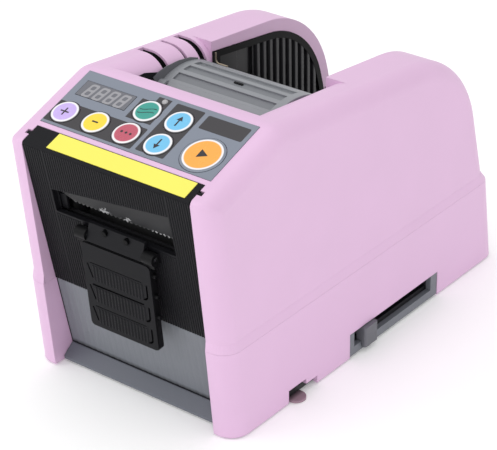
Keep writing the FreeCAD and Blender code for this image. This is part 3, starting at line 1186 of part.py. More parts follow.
def bay_liner(label, sign):
    """Ribbed liner behind the window in a wall's inner face, down to the base plate."""
    body = new_body(label)
    face = "bay_width / 2 + liner_sink"
    back = "bay_width / 2 + wall"
    front = f"{SHOULDER_END} + 4"
    flange = "2 * liner_plate"
    skirt_rear = "overall_length / 2 - rear_lean - wall - 14"

    def plate(inner, outer):
        return new_sketch(body, "YZ_Plane", along_x(f"{sign}(({inner}) + ({outer})) / 2"))

    above = "seam_height + gap"
    rim = plate(back, f"{back} + liner_plate")
    under_top = f"{HOLLOW_INSET} + gap"
    shoulder_outline(rim, f"{front} - {flange}", above, under_top, under_top, under_top)
    feature(body, "Pad", rim, "liner_plate", both_sides=True)
    infill = plate(face, f"{back} + liner_plate / 2")
    liner_outline(infill, "-gap", above)
    feature(body, "Pad", infill, f"{back} + liner_plate / 2 - ({face})", both_sides=True)
    skirt = plate(face, f"{back} + liner_plate")
    rectangle(skirt, f"{front} + gap", skirt_rear, FLOOR_TOP, f"{above} + 2")
    feature(body, "Pad", skirt, f"{back} + liner_plate - ({face})", both_sides=True)

    # Upright ribs, and the smooth channel that the axle's bush drops into
    ribs = new_sketch(body, "YZ_Plane", along_x(f"{sign}({face} - liner_rib / 2)"))
    arc = "(rear_round - (liner_top_rim + liner_rear_rim) / 2)"
    first = f"({AXLE_Y} + axle_bush_radius + 1.1 * liner_rib_width)"
    last = f"({ARC_Y} + 0.86 * {arc})"

    def under_rim(y):
        """Just under the window's rim, at a place along the wall."""
        reach = f"({arc} - liner_rib_end)"
        curve = f"{ARC_Z} + sqrt({reach} * {reach} - ({y} - {ARC_Y}) * ({y} - {ARC_Y}))"
        return f"({y} < {ARC_Y} ? {top_line(y)} - liner_top_rim - liner_rib_end : {curve})"

    for number in range(round(size("liner_ribs"))):
        y = f"({first} + {number} * ({last} - {first}) / (liner_ribs - 1))"
        near = f"({y} - liner_rib_width / 2)"
        far = f"({y} + liner_rib_width / 2)"
        outline(ribs, [(near, "liner_rib_low"), (far, "liner_rib_low"), (far, under_rim(far)),
                       (near, under_rim(near))])
    ridge = feature(body, "Pad", ribs, "liner_rib + 2 * fit", both_sides=True)
    doc.recompute()
    crest = min(abs(v.X) for v in ridge.Shape.Vertexes)
    rounded(body, "0.3 * liner_rib_width", lambda edge: all(abs(abs(v.X) - crest) < 0.01 for v in edge.Vertexes)
            and abs(edge.Vertexes[0].Z - edge.Vertexes[-1].Z) > size("liner_rib_rise"))
    channel = new_sketch(body, "YZ_Plane", along_x(f"{sign}({face})"))
    half = "axle_bush_radius + gap"
    rectangle(channel, f"{AXLE_Y} - ({half})", f"{AXLE_Y} + ({half})", "axle_z", "peak_height")
    cut(body, channel, "3", both_sides=True)
    seat = new_sketch(body, "YZ_Plane", along_x(f"{sign}({face})"))
    circle(seat, AXLE_Y, "axle_z", half)
    cut(body, seat, "3", both_sides=True)
    return body


def reel():
    """Tape core on its axle, lifted out to change the tape."""
    half = "reel_width / 2"
    tube = f"({half} - reel_tube_gap)"
    rim = "reel_radius - reel_rim"
    web = "reel_web / 2"
    sleeve = "axle_radius + reel_sleeve"
    hub = turned("reel_hub", [
        (f"-{tube}", "axle_radius + fit"), (f"-{tube}", sleeve), (f"-{web}", sleeve),
        (f"-{web}", rim), (f"-{half}", rim), (f"-{half}", "reel_radius"),
        (half, "reel_radius"), (half, rim), (web, rim),
        (web, sleeve), (tube, sleeve), (tube, "axle_radius + fit"),
    ], at("0", AXLE_Y, "axle_z"))
    end = "(bay_width / 2 + liner_sink + 1)"
    bush = f"({end} - axle_bush_length)"
    axle = turned("reel_axle", [
        (f"-{end}", "0"), (f"-{end}", "axle_bush_radius"), (f"-{bush}", "axle_bush_radius"),
        (f"-{bush}", "axle_radius"), (bush, "axle_radius"), (bush, "axle_bush_radius"),
        (end, "axle_bush_radius"), (end, "0"),
    ], at("0", AXLE_Y, "axle_z"))
    return [hub, axle]


# Frame and feed drive
PINCH_Z = "(feed_z + feed_radius + nip_gap + pinch_radius)"
MOTOR_Z = "(feed_z - tooth_module * (feed_teeth + pinion_teeth) / 2)"
CRANK_Y = f"({FRONT} + crank_drop * sin(cover_lean) + crank_inset * cos(cover_lean))"
CRANK_Z = "(bend_height - crank_drop * cos(cover_lean) + crank_inset * sin(cover_lean))"
FRAME_REAR = f"({BRIDGE_REAR} - wall - gap)"
SPACERS = ("frame_top - 8", "frame_top - 42", f"{FLOOR_TOP} + 8")


def frame_plate(label, sign):
    """Steel side plate of the mechanism, standing on the base plate behind the cover."""
    body = new_body(label)
    middle = f"{sign}(frame_half + frame_thick / 2)"
    plate = new_sketch(body, "YZ_Plane", along_x(middle))

    def behind_cover(z):
        return f"{FRONT} + (bend_height - {z}) * tan(cover_lean) + frame_inset / cos(cover_lean)"

    outline(plate, [
        (behind_cover(FLOOR_TOP), FLOOR_TOP), (FRAME_REAR, FLOOR_TOP), (FRAME_REAR, "frame_top"),
        (behind_cover("frame_top"), "frame_top"),
    ])
    feature(body, "Pad", plate, "frame_thick", both_sides=True)
    holes = new_sketch(body, "YZ_Plane", along_x(middle))
    circle(holes, "feed_y", "feed_z", "feed_shaft_radius + fit")
    circle(holes, "feed_y", PINCH_Z, "pinch_shaft_radius + fit")
    if sign:
        circle(holes, CRANK_Y, CRANK_Z, "motor_shaft_radius + fit")
    else:
        circle(holes, "feed_y", MOTOR_Z, "motor_shaft_radius + fit")
    cut(body, holes, "frame_thick + 1", both_sides=True)
    return body


def frame_spacers():
    bars = []
    for number, z in enumerate(SPACERS):
        bars.append(rod(f"frame_spacer_{number}", "spacer_radius", "-frame_half", "frame_half",
                        f"{FRAME_REAR} - spacer_radius - 1", z))
    return group("frame_spacers", bars)


def roller(label, radius, shaft_radius, y, z):
    half = "roller_width / 2"
    bore = f"{shaft_radius} + fit"
    points = [(f"-{half}", bore), (f"-{half}", radius), (half, radius), (half, bore)]
    return turned(label, points, at("0", y, z))


def gear(label, teeth, frame, shaft=None, bore=None):
    """Spur gear about X: root disc, one tooth and its turn round the axis."""
    body = new_body(label, frame)
    disc = new_sketch(body, "YZ_Plane")
    root = f"tooth_module * ({teeth} / 2 - 1.1)"
    circle(disc, "0", "0", root)
    feature(body, "Pad", disc, "gear_width")
    tooth = new_sketch(body, "YZ_Plane")
    tip = f"tooth_module * ({teeth} / 2 + 0.75)"
    foot = f"{root} - 0.3 * tooth_module"
    outline(tooth, [
        ("-0.92 * tooth_module", foot), ("0.92 * tooth_module", foot),
        ("0.36 * tooth_module", tip), ("-0.36 * tooth_module", tip),
    ])
    made = feature(body, "Pad", tooth, "gear_width")
    pattern = body.newObject("PartDesign::PolarPattern", f"{label}_teeth")
    pattern.Originals = [made]
    x_axis = [item for item in body.Origin.OriginFeatures if item.Role == "X_Axis"][0]
    pattern.Axis = (x_axis, [""])
    pattern.Angle = 360
    pattern.setExpression("Occurrences", tie(teeth))
    body.Tip = pattern
    if bore:
        hole = new_sketch(body, "YZ_Plane")
        circle(hole, "0", "0", bore)
        cut(body, hole, "3 * gear_width", both_sides=True)
    if shaft:
        start, radius = shaft
        pin = new_sketch(body, "YZ_Plane", along_x(start))
        circle(pin, "0", "0", radius)
        feature(body, "Pad", pin, f"gear_width / 2 - ({start})")
    return body


GEAR_X = "(frame_half + frame_thick + 1)"


def feed_drive():
    """Feed and pinch rollers, the feed gear, the motor and its pinion."""
    feed = roller("feed_roller", "feed_radius", "feed_shaft_radius", "feed_y", "feed_z")
    feed_shaft = rod("feed_roller_shaft", "feed_shaft_radius", "-(frame_half + frame_thick + 2)",
                     f"{GEAR_X} + gear_width + 1", "feed_y", "feed_z")
    pinch = roller("pinch_roller", "pinch_radius", "pinch_shaft_radius", "feed_y", PINCH_Z)
    pinch_shaft = rod("pinch_roller_shaft", "pinch_shaft_radius", "-(frame_half + frame_thick + 2)",
                      "frame_half + frame_thick + 0.5", "feed_y", PINCH_Z)
    wheel = gear("feed_gear", "feed_teeth", at(GEAR_X, "feed_y", "feed_z"), bore="feed_shaft_radius + fit")
    half_tooth = "180 / pinion_teeth"
    pinion = gear("motor_pinion", "pinion_teeth",
                  f"placement(vector({GEAR_X}; feed_y; {MOTOR_Z}); rotation(vector(1; 0; 0); {half_tooth}))",
                  shaft=("-(frame_thick + motor_bore)", "motor_shaft_radius"))
    motor = motor_can("feed_motor", "feed_y", MOTOR_Z, "0")
    return [feed, feed_shaft, pinch, pinch_shaft, wheel, pinion, motor]


def motor_can(label, y, z, turn):
    """Round geared motor whose front face lies on a frame plate; turn 180 faces the left one."""
    front = "frame_half"
    bore = "motor_shaft_radius + fit"
    bore_end = f"({front} - motor_bore)"
    step = f"({front} - 0.4 * motor_length)"
    back = f"({front} - motor_length)"
    can = "motor_radius - motor_step"
    frame = f"placement(vector(0; {y}; {z}); rotation(vector(0; 0; 1); {turn}))"
    return turned(label, [
        (bore_end, "0"), (bore_end, bore), (front, bore), (front, "motor_radius"),
        (step, "motor_radius"), (step, can), (back, can), (back, "0"),
    ], frame)


def cutter():
    """Fixed blade on its bar, moving blade on its carrier, crank and motor."""
    fixed_back = "-(cover_thick + 1 + blade_thick)"
    moving_back = f"({fixed_back} - blade_gap - blade_thick)"
    pitch = "((2 * blade_half - blade_bevel) / blade_teeth)"
    start = "(blade_bevel - blade_half)"
    edge = [("-blade_half", "-blade_top"), ("-blade_half", "-blade_edge + blade_bevel_rise")]
    edge.append((start, "-blade_edge"))
    for number in range(round(size("blade_teeth"))):
        x = f"{start} + {number} * {pitch}"
        edge.append((f"{x} + {pitch} / 2", "-blade_edge - blade_tooth"))
        edge.append((f"{x} + {pitch}", "-blade_edge"))
    edge.append(("blade_half", "-blade_top"))
    fixed = slab("fixed_blade", f"{COVER_FRAME} * {along_x(fixed_back)}", edge, "blade_thick")
    bar_half = "frame_half + frame_thick"
    bar = slab("blade_bar", f"{COVER_FRAME} * {along_x('-frame_inset')}",
               box_points(f"-({bar_half})", bar_half, "-bar_low", "-blade_top"),
               f"frame_inset + ({fixed_back})")
    moving = slab("moving_blade", f"{COVER_FRAME} * {along_x(moving_back)}",
                  box_points("-blade_half", "blade_half", "-moving_edge - moving_height", "-moving_edge"),
                  "blade_thick")
    carrier_back = f"({moving_back} - carrier_thick)"
    arm_x = "-(frame_half + frame_thick + yoke_off)"
    carrier = slab("blade_carrier", f"{COVER_FRAME} * {along_x(carrier_back)}",
                   box_points(f"{arm_x} - yoke_thick", "blade_half", "-carrier_low", "-carrier_high"),
                   "carrier_thick")
    arm = new_sketch(carrier, "YZ_Plane", along_x(f"{arm_x} - yoke_thick / 2"))
    pin_in = f"-crank_inset + crank_radius - ({carrier_back})"
    fork_high = "-crank_drop + yoke_fork"
    fork_low = "-crank_drop - yoke_fork"
    outline(arm, [
        ("-carrier_high", "0"), ("-carrier_high", "-yoke_depth"), (fork_high, "-yoke_depth"),
        (fork_high, f"{pin_in} - crank_radius"), (fork_low, f"{pin_in} - crank_radius"),
        (fork_low, f"{pin_in} + yoke_depth"), ("-carrier_low - crank_radius", "0.5"),
    ])
    feature(carrier, "Pad", arm, "yoke_thick", both_sides=True)
    slot = new_sketch(carrier, "YZ_Plane", along_x(f"{arm_x} - yoke_thick / 2"))
    rest_y = "-crank_drop - crank_radius * sin(crank_rest)"
    half_slot = "(crank_pin_radius + crank_slot_gap)"
    back = f"{pin_in} - crank_radius * (1 - cos(crank_rest)) - {half_slot}"
    rectangle(slot, f"{rest_y} - ({half_slot})", f"{rest_y} + ({half_slot})", back, f"{pin_in} + {half_slot}")
    cut(carrier, slot, "yoke_thick + 1", both_sides=True)
    crank = new_body("cutter_crank", f"{COVER_FRAME} * {at('0', '-crank_drop', '-crank_inset')}")
    disc_x = "-(frame_half + frame_thick + 0.5)"
    disc = new_sketch(crank, "YZ_Plane", along_x(disc_x))
    circle(disc, "0", "0", "crank_radius + crank_rim")
    feature(crank, "Pad", disc, "crank_thick", flip=True)
    pin = new_sketch(crank, "YZ_Plane", along_x(disc_x))
    circle(pin, "-crank_radius * sin(crank_rest)", "crank_radius * cos(crank_rest)", "crank_pin_radius")
    feature(crank, "Pad", pin, "yoke_off + yoke_thick + 0.5", flip=True)
    shaft = new_sketch(crank, "YZ_Plane", along_x(disc_x))
    circle(shaft, "0", "0", "motor_shaft_radius")
    feature(crank, "Pad", shaft, "frame_thick + motor_bore - 0.5")
    motor = motor_can("cutter_motor", CRANK_Y, CRANK_Z, "180")
    return [fixed, bar, moving, carrier, crank, motor]


def suction_feet():
    """Rubber feet pressed into the base plate; the front pair have tabs that reach into the notches."""
    feet = []
    seat = UNDERSIDE
    for x, y, tab in (("foot_x", "foot_y", True), ("rear_foot_x", "rear_foot_y", False)):
        for sign in ("-", ""):
            turn = "180" if sign else "0"
            body = new_body(f"foot_{x}{'_left' if sign else '_right'}",
                            f"placement(vector({sign}{x}; {y}; 0); rotation(vector(0; 0; 1); {turn}))")
            ring = new_sketch(body, "XZ_Plane")
            outline(ring, [
                ("0", "0"), ("foot_radius - 1", "0"), ("foot_radius", "0.5"), ("foot_radius - 0.6", seat),
                ("foot_stem_radius", seat), ("foot_stem_radius", FLOOR_TOP), ("0", FLOOR_TOP),
            ])
            turn = body.newObject("PartDesign::Revolution", f"{body.Name}_turn")
            turn.Profile = ring
            turn.ReferenceAxis = (ring, ["V_Axis"])
            turn.Angle = 360
            body.Tip = turn
            if tab:
                end = f"{SIDE} + foot_tab_reach - foot_tab_radius - foot_x"
                tongue = new_sketch(body, "XY_Plane", along_x("foot_tab_low"))
                rectangle(tongue, "foot_radius / 2", end, "-foot_tab_radius", "foot_tab_radius")
                feature(body, "Pad", tongue, f"{seat} - foot_tab_low")
                disc = new_sketch(body, "XY_Plane", along_x("foot_tab_low"))
                circle(disc, end, "0", "foot_tab_radius")
                feature(body, "Pad", disc, f"{seat} - foot_tab_low")
            feet.append(body)
    return group("suction_feet", feet)


def rail_and_knob():
    """Open-topped rail in the right side of the base, and the knob that slides along it."""
    outer = f"({SIDE} - 0.2)"
    floor = f"({SIDE} - rail_sink)"
    back = f"({floor} - rail_floor)"
    rail = new_body("slider_rail")
    block = new_sketch(rail, "YZ_Plane", along_x(back))
    rectangle(block, "rail_front + gap", "rail_rear - gap", FLOOR_TOP, "rail_top - gap")
    feature(rail, "Pad", block, f"{outer} - {back}")
    apron = new_sketch(rail, "YZ_Plane", along_x(f"{SIDE} - wall"))
    rectangle(apron, "rail_front + gap", "rail_rear - gap", UNDERSIDE, "rail_ledge")
    feature(rail, "Pad", apron, f"{outer} - ({SIDE} - wall)")
    hollow = new_sketch(rail, "YZ_Plane", along_x(outer))
    hollow_front = "rail_front + rail_front_post"
    hollow_rear = "rail_rear - rail_rear_post"
    rectangle(hollow, hollow_front, hollow_rear, "rail_ledge", "rail_top + 1")
    cut(rail, hollow, f"{outer} - ({floor})")
    slot_z = "(rail_ledge + rail_top) / 2"
    slot = new_sketch(rail, "YZ_Plane", along_x(outer))
    rectangle(slot, f"{hollow_front} + 1", f"{hollow_rear} - 1",
              f"{slot_z} - rail_slot / 2", f"{slot_z} + rail_slot / 2")
    cut(rail, slot, "rail_sink + 2 * rail_floor")

    # The knob reaches through the slot to a keeper behind the rail
    knob = new_body("slide_knob")
    knob_front = "(rail_front + knob_rest)"
    knob_rear = f"({knob_front} + knob_length)"
    cap = new_sketch(knob, "YZ_Plane", along_x(f"{floor} + gap"))
    rectangle(cap, knob_front, knob_rear, "rail_ledge + gap", "rail_top - 2 * gap")
    feature(knob, "Pad", cap, "rail_sink - gap + knob_proud")
    skirt = new_sketch(knob, "YZ_Plane", along_x(f"{outer} + gap"))
    rectangle(skirt, knob_front, knob_rear, "knob_low", "rail_ledge + 1")
    feature(knob, "Pad", skirt, f"{SIDE} + knob_proud - {outer} - gap")
    face = size("overall_width") / 2 + size("knob_proud")
    rounded(knob, "knob_proud / 2", lambda edge: all(abs(v.X - face) < 0.01 for v in edge.Vertexes)
            and abs(edge.Vertexes[0].Z - edge.Vertexes[-1].Z) > size("knob_low"))
    neck_front = f"{knob_front} + 1"
    neck_rear = f"{knob_rear} - 1"
    neck = new_sketch(knob, "YZ_Plane", along_x(f"{floor} + gap"))
    rectangle(neck, neck_front, neck_rear, f"{slot_z} - rail_slot / 2 + gap", f"{slot_z} + rail_slot / 2 - gap")
    feature(knob, "Pad", neck, "rail_floor + 2 * gap", flip=True)
    keeper = new_sketch(knob, "YZ_Plane", along_x(f"{back} - gap"))
    rectangle(keeper, neck_front, neck_rear, f"{slot_z} - 0.8 * rail_slot", f"{slot_z} + 0.8 * rail_slot")
    feature(knob, "Pad", keeper, "knob_keeper", flip=True)
    return [rail, knob]


REAR_FRAME_Y = "(overall_length / 2 - rear_lean * (socket_z - foot_gap) / (seam_height - foot_gap))"


def rear_frame(x):
    """Frame on the leaning back: X across, Y up the back, Z out of it."""
    return f"placement(vector({x}; {REAR_FRAME_Y}; socket_z); rotation(vector(1; 0; 0); -90 + {REAR_TILT})) " \
           "* placement(vector(0; 0; 0); rotation(vector(0; 0; 1); 180))"


def socket_block(label, name):
    """Block through its hole in the leaning back, with a flange on the outside."""
    half = f"{name}_width / 2"
    tall = f"{name}_height / 2"
    block = slab(label, f"{rear_frame(f'{name}_x')} * {along_x(f'-{name}_depth')}",
                 box_points(f"-{half} + socket_ease", f"{half} - socket_ease",
                            f"-{tall} + socket_ease", f"{tall} - socket_ease"), f"{name}_depth")
    flange = new_sketch(block, "XY_Plane", along_x(f"{name}_depth"))
    rectangle(flange, f"-{half} - socket_lip", f"{half} + socket_lip",
              f"-{tall} - socket_lip", f"{tall} + socket_lip")
    feature(block, "Pad", flange, "socket_flange")
    return block


def power_inlet():
    """Mains inlet: a recess with two cut corners, and three flat pins in it."""
    inlet = socket_block("power_inlet", "inlet")
    half = "(inlet_width / 2 - inlet_wall)"
    tall = "(inlet_height / 2 - inlet_wall)"
    recess = new_sketch(inlet, "XY_Plane", along_x("inlet_depth + socket_flange"))
    outline(recess, [
        (f"-{half}", f"-{tall}"), (half, f"-{tall}"), (half, f"{tall} - inlet_corner"),
        (f"{half} - inlet_corner", tall), (f"inlet_corner - {half}", tall),
        (f"-{half}", f"{tall} - inlet_corner"),
    ])
    cut(inlet, recess, "inlet_depth - inlet_wall + socket_flange")
    pins = new_sketch(inlet, "XY_Plane", along_x("inlet_wall / 2"))
    for x, y in (("-inlet_pin_spread", "-inlet_pin"), ("inlet_pin_spread", "-inlet_pin"), ("0", "inlet_pin")):
        rectangle(pins, f"{x} - inlet_pin / 2", f"{x} + inlet_pin / 2", f"{y} - inlet_pin", f"{y} + inlet_pin")
    feature(inlet, "Pad", pins, "inlet_depth / 2")
    return inlet


def rocker_switch():
    """Switch frame, and the rocker on two trunnions in it."""
    frame = socket_block("switch_frame", "switch")
    half = "(switch_width / 2 - switch_wall)"
    tall = "(switch_height / 2 - switch_wall)"
    mouth = new_sketch(frame, "XY_Plane", along_x("switch_depth + socket_flange"))
    rectangle(mouth, f"-{half}", half, f"-{tall}", tall)
    cut(frame, mouth, "0.75 * switch_depth + socket_flange")
    pivot = new_sketch(frame, "XZ_Plane")
    circle(pivot, "0", "switch_depth - rocker_sink", "rocker_pivot_radius + fit")
    cut(frame, pivot, "switch_height", both_sides=True)
    rocker = new_body("switch_rocker", f"{rear_frame('switch_x')} * placement(vector(0; 0; -rocker_sink); "
                                       "rotation(vector(0; 1; 0); rocker_tilt))")
    wedge = new_sketch(rocker, "XZ_Plane")
    reach = f"({half} - 3 * gap)"
    edge = "rocker_sink + socket_flange"
    outline(wedge, [
        (f"-{reach}", "rocker_sink"), ("-rocker_sink", "-2 * rocker_sink"), ("rocker_sink", "-2 * rocker_sink"),
        (reach, "rocker_sink"), (reach, edge), ("0", "1.3 * rocker_sink"), (f"-{reach}", edge),
    ])
    feature(rocker, "Pad", wedge, f"2 * ({tall} - gap)", both_sides=True)
    trunnion = new_sketch(rocker, "XZ_Plane")
    circle(trunnion, "0", "0", "rocker_pivot_radius")
    feature(rocker, "Pad", trunnion, "switch_height - 2 * socket_ease - 2 * gap", both_sides=True)
    return [frame, rocker]


def power_board():
    """Power board with its transformer and capacitors, on posts behind the left liner."""
    inner = "(-(bay_width / 2 + wall + liner_plate))"
    near = f"({inner} - power_board_off)"
    front = f"({AXLE_Y} - power_board_lead)"
    low = "(seam_height + power_board_rise)"

    def spot(across, up):
        return f"{front} + {across} * power_board_length", f"{low} + {up} * power_board_height"

    board = new_body("power_board")
    plate = new_sketch(board, "YZ_Plane", along_x(near))
    rectangle(plate, front, f"{front} + power_board_length", low, f"{low} + power_board_height")
    feature(board, "Pad", plate, "board_thick", flip=True)
    posts = new_sketch(board, "YZ_Plane", along_x(inner))
    for across in (0.08, 0.92):
        for up in (0.08, 0.92):
            circle(posts, *spot(across, up), "post_radius")
    feature(board, "Pad", posts, "power_board_off", flip=True)
    parts = new_sketch(board, "YZ_Plane", along_x(f"{near} - board_thick"))
    outline(parts, [spot(0.14, 0.12), spot(0.44, 0.12), spot(0.44, 0.58), spot(0.14, 0.58)])
    circle(parts, *spot(0.67, 0.31), "3 * post_radius")
    circle(parts, *spot(0.67, 0.65), "2 * post_radius")
    feature(board, "Pad", parts, f"0.65 * ({UPPER_SIDE} - wall + {near} - board_thick)", flip=True)
    return board


def housing_screws():
    """Screws that hold the base plate up into the bosses of the lower housing."""
    screws = []
    for sign in ("-", ""):
        for y in ("screw_front_y", "screw_rear_y"):
            body = new_body(f"{y}{'_left' if sign else '_right'}", at(f"{sign}screw_x", y, UNDERSIDE))
            shape = new_sketch(body, "XZ_Plane")
            head = "base_thick / 2"
            top = "screw_boss_top - 6 - foot_gap"
            outline(shape, [
                ("0", "0.2"), ("screw_head_radius - 0.6", "0.2"), ("screw_head_radius", "0.7"),
                ("screw_head_radius", head), ("screw_radius", head), ("screw_radius", top), ("0", top),
            ])
            turn = body.newObject("PartDesign::Revolution", f"{body.Name}_turn")
            turn.Profile = shape
            turn.ReferenceAxis = (shape, ["V_Axis"])
            turn.Angle = 360
            body.Tip = turn
            screws.append(body)
    return group("housing_screws", screws)


pieces = [upper_housing(), lower_housing(), base_plate(), lower_front_panel(), front_cover(), accent_strip(),
          outlet_bracket(), bracket_pins(), outlet_flap(), flap_hinge_pin(), panel_overlay()]
pieces += [key(*spec) for spec in KEYS]
pieces += [key_switches(), control_board(), *display_pieces(), status_led(), guide_cover(), *guide_pieces(),
           tape_guide_wire(), bay_liner("left_bay_liner", "-"), bay_liner("right_bay_liner", ""), *reel(),
           frame_plate("left_frame", "-"), frame_plate("right_frame", ""), frame_spacers(), *feed_drive(),
           *cutter(), suction_feet(), *rail_and_knob(), power_inlet(), *rocker_switch(), power_board(),
           housing_screws()]
doc.recompute()

# Every object sound before anything is written
for item in doc.Objects:
    if "Invalid" in item.State or "Error" in item.State:
        raise ValueError(f"{item.Name} failed: {item.State}")
for piece in pieces:
    if piece.Shape.isNull() or not piece.Shape.isValid():
        raise ValueError(f"{piece.Label} has no sound shape")
os.makedirs("parts", exist_ok=True)
for piece in pieces:
    piece.Shape.exportStep(f"parts/{piece.Label}.step")
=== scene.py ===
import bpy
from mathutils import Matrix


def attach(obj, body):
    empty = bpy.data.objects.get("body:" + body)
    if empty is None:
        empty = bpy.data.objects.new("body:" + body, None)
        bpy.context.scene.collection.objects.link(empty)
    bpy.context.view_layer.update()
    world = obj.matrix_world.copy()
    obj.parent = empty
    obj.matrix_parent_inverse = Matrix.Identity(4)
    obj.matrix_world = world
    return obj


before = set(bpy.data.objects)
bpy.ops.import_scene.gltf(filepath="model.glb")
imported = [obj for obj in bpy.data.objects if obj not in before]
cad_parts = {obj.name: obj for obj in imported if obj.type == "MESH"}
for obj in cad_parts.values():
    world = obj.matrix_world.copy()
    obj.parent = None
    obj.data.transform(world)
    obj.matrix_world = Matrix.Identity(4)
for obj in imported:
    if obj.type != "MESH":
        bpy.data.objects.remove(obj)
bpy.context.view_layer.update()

import bmesh
import bpy
import math
from mathutils import Matrix, Vector

# Upper and lower housing: two thin-walled pink mouldings that meet at a level seam.
# Injection-moulded plastic with a fine satin grain, held together by screws from below.
PINK = (0.736, 0.490, 0.702)
PINK_GLOSS = 0.42
GLOSS_BELOW = 0.05
GLOSS_ABOVE = 0.06


def shade(colour, share):
    """Colour with its channels scaled, and full opacity."""
    return tuple(channel * share for channel in colour[:3]) + (1.0,)


def moulded(name, colour, gloss, grain=0.00030, relief=0.000006, drift=0.03, patch=0.030, metal=0.0,
            coat=0.0, shine=0.5, soft=0.0):
    """Finish with a fine grain in its relief and slow changes of tint and gloss over the piece.

    Soft is the radius by which the light is rounded over sharp edges.
    """
    made = bpy.data.materials.new(name)
    made.use_nodes = True
    nodes = made.node_tree.nodes
    link = made.node_tree.links.new
    shader = nodes["Principled BSDF"]
    shader.inputs["Metallic"].default_value = metal
    shader.inputs["Coat Weight"].default_value = coat
    shader.inputs["Specular IOR Level"].default_value = shine
    place = nodes.new("ShaderNodeTexCoord")
    slow = nodes.new("ShaderNodeTexNoise")
    slow.inputs["Scale"].default_value = 1 / patch
    slow.inputs["Detail"].default_value = 3.0
    fine = nodes.new("ShaderNodeTexNoise")
    fine.inputs["Scale"].default_value = 1 / grain
    fine.inputs["Detail"].default_value = 2.0
    tint = nodes.new("ShaderNodeMix")
    tint.data_type = "RGBA"
    tint.inputs["A"].default_value = shade(colour, 1 - drift)
    tint.inputs["B"].default_value = shade(colour, 1 + drift)
    satin = nodes.new("ShaderNodeMapRange")
    satin.inputs["To Min"].default_value = gloss - GLOSS_BELOW
    satin.inputs["To Max"].default_value = gloss + GLOSS_ABOVE
    bump = nodes.new("ShaderNodeBump")
    bump.inputs["Strength"].default_value = 0.5
    bump.inputs["Distance"].default_value = relief
    link(place.outputs["Object"], slow.inputs["Vector"])
    link(place.outputs["Object"], fine.inputs["Vector"])
    link(slow.outputs["Fac"], tint.inputs["Factor"])
    link(slow.outputs["Fac"], satin.inputs["Value"])
    link(tint.outputs["Result"], shader.inputs["Base Color"])
    link(satin.outputs["Result"], shader.inputs["Roughness"])
    link(fine.outputs["Fac"], bump.inputs["Height"])
    link(bump.outputs["Normal"], shader.inputs["Normal"])
    if soft:
        edges = nodes.new("ShaderNodeBevel")
        edges.samples = 4
        edges.inputs["Radius"].default_value = soft
        link(edges.outputs["Normal"], bump.inputs["Normal"])
    return made


def dress(material, *names):
    """Give CAD nodes a finish."""
    for name in names:
        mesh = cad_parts[name].data
        mesh.materials.clear()
        mesh.materials.append(material)


pink_shell = moulded("pink_shell", PINK, PINK_GLOSS, soft=0.0006)
dress(pink_shell, "upper_housing", "lower_housing")

# Flare over the seam: the skirt's upper edge, drawn in to the upper housing by a smooth slope.
# Moulded with the skirt in the same pink plastic; it ends at the inner edges of the front pillars.
PILLAR_INNER = 0.0509
CORNER_STEPS = 9
# side, front, rear, corner radius and height: on the upper wall, on the skirt's edge, inside the walls
FLARE_EDGES = (
    (0.06282, -0.11234, 0.10950, 0.0090, 0.05450),
    (0.06398, -0.11296, 0.11372, 0.0102, 0.04952),
    (0.06200, -0.11150, 0.10900, 0.0090, 0.04952),
)


def skirt_path(side, front, rear, corner, height):
    """Open path round the housing, from one front pillar to the other."""
    points = [Vector((-PILLAR_INNER, front, height))]
    for x, y, start in ((corner - side, front + corner, 270), (corner - side, rear - corner, 180),
                        (side - corner, rear - corner, 90), (side - corner, front + corner, 0)):
        for step in range(CORNER_STEPS + 1):
            turn = math.radians(start - 90 * step / CORNER_STEPS)
            points.append(Vector((x + corner * math.cos(turn), y + corner * math.sin(turn), height)))
    return points + [Vector((PILLAR_INNER, front, height))]


def loft(name, paths, finish):
    """Closed bar between paths with the same number of points."""
    count = len(paths[0])
    total = count * len(paths)
    faces = [tuple(range(0, total, count)), tuple(range(count - 1, total, count))[::-1]]
    for one in range(len(paths)):
        other = (one + 1) % len(paths)
        faces += [(one * count + i, one * count + i + 1, other * count + i + 1, other * count + i)
                  for i in range(count - 1)]
    made = bpy.data.meshes.new(name)
    made.from_pydata([point for path in paths for point in path], [], faces)
    made.materials.append(finish)
    made.update()
    return made


def mount(name, mesh, body):
    """Put a finished mesh into the scene and let it ride on a body."""
    made = bpy.data.objects.new(name, mesh)
    bpy.context.scene.collection.objects.link(made)
    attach(made, body)


pink_flare = moulded("pink_flare", PINK, PINK_GLOSS)
flare = loft("seam_flare", [skirt_path(*edge) for edge in FLARE_EDGES], pink_flare)
mount("seam_flare", flare, "housing")

# Troughs in the cross slots of the left shoulder: gray inner moulding that closes them below.
# Each has two thin black cheeks, painted shade on its sides, and a gray floor, set back under the rounded
# skin.
SLOT_ENDS = (-0.0538, -0.0362)
SLOT_DEPTH = 0.0100
# y and width of each slot
SLOT_PLACES = ((-0.03145, 0.0046), (-0.01525, 0.0020), (-0.00395, 0.0046))
SHOULDER_ROUND = 0.0130
SHOULDER_STEPS = 12
RIDGE_Y = -0.06795
RIDGE_HEIGHT = 0.1491
TOP_FALL = 0.10653
BAY_HALF = 0.0354
SKIN = 0.0015
CHEEK = 0.00012
CHEEK_FREE = 0.00003
FLOOR_FREE = 0.00005
FLOOR_THICK = 0.0006


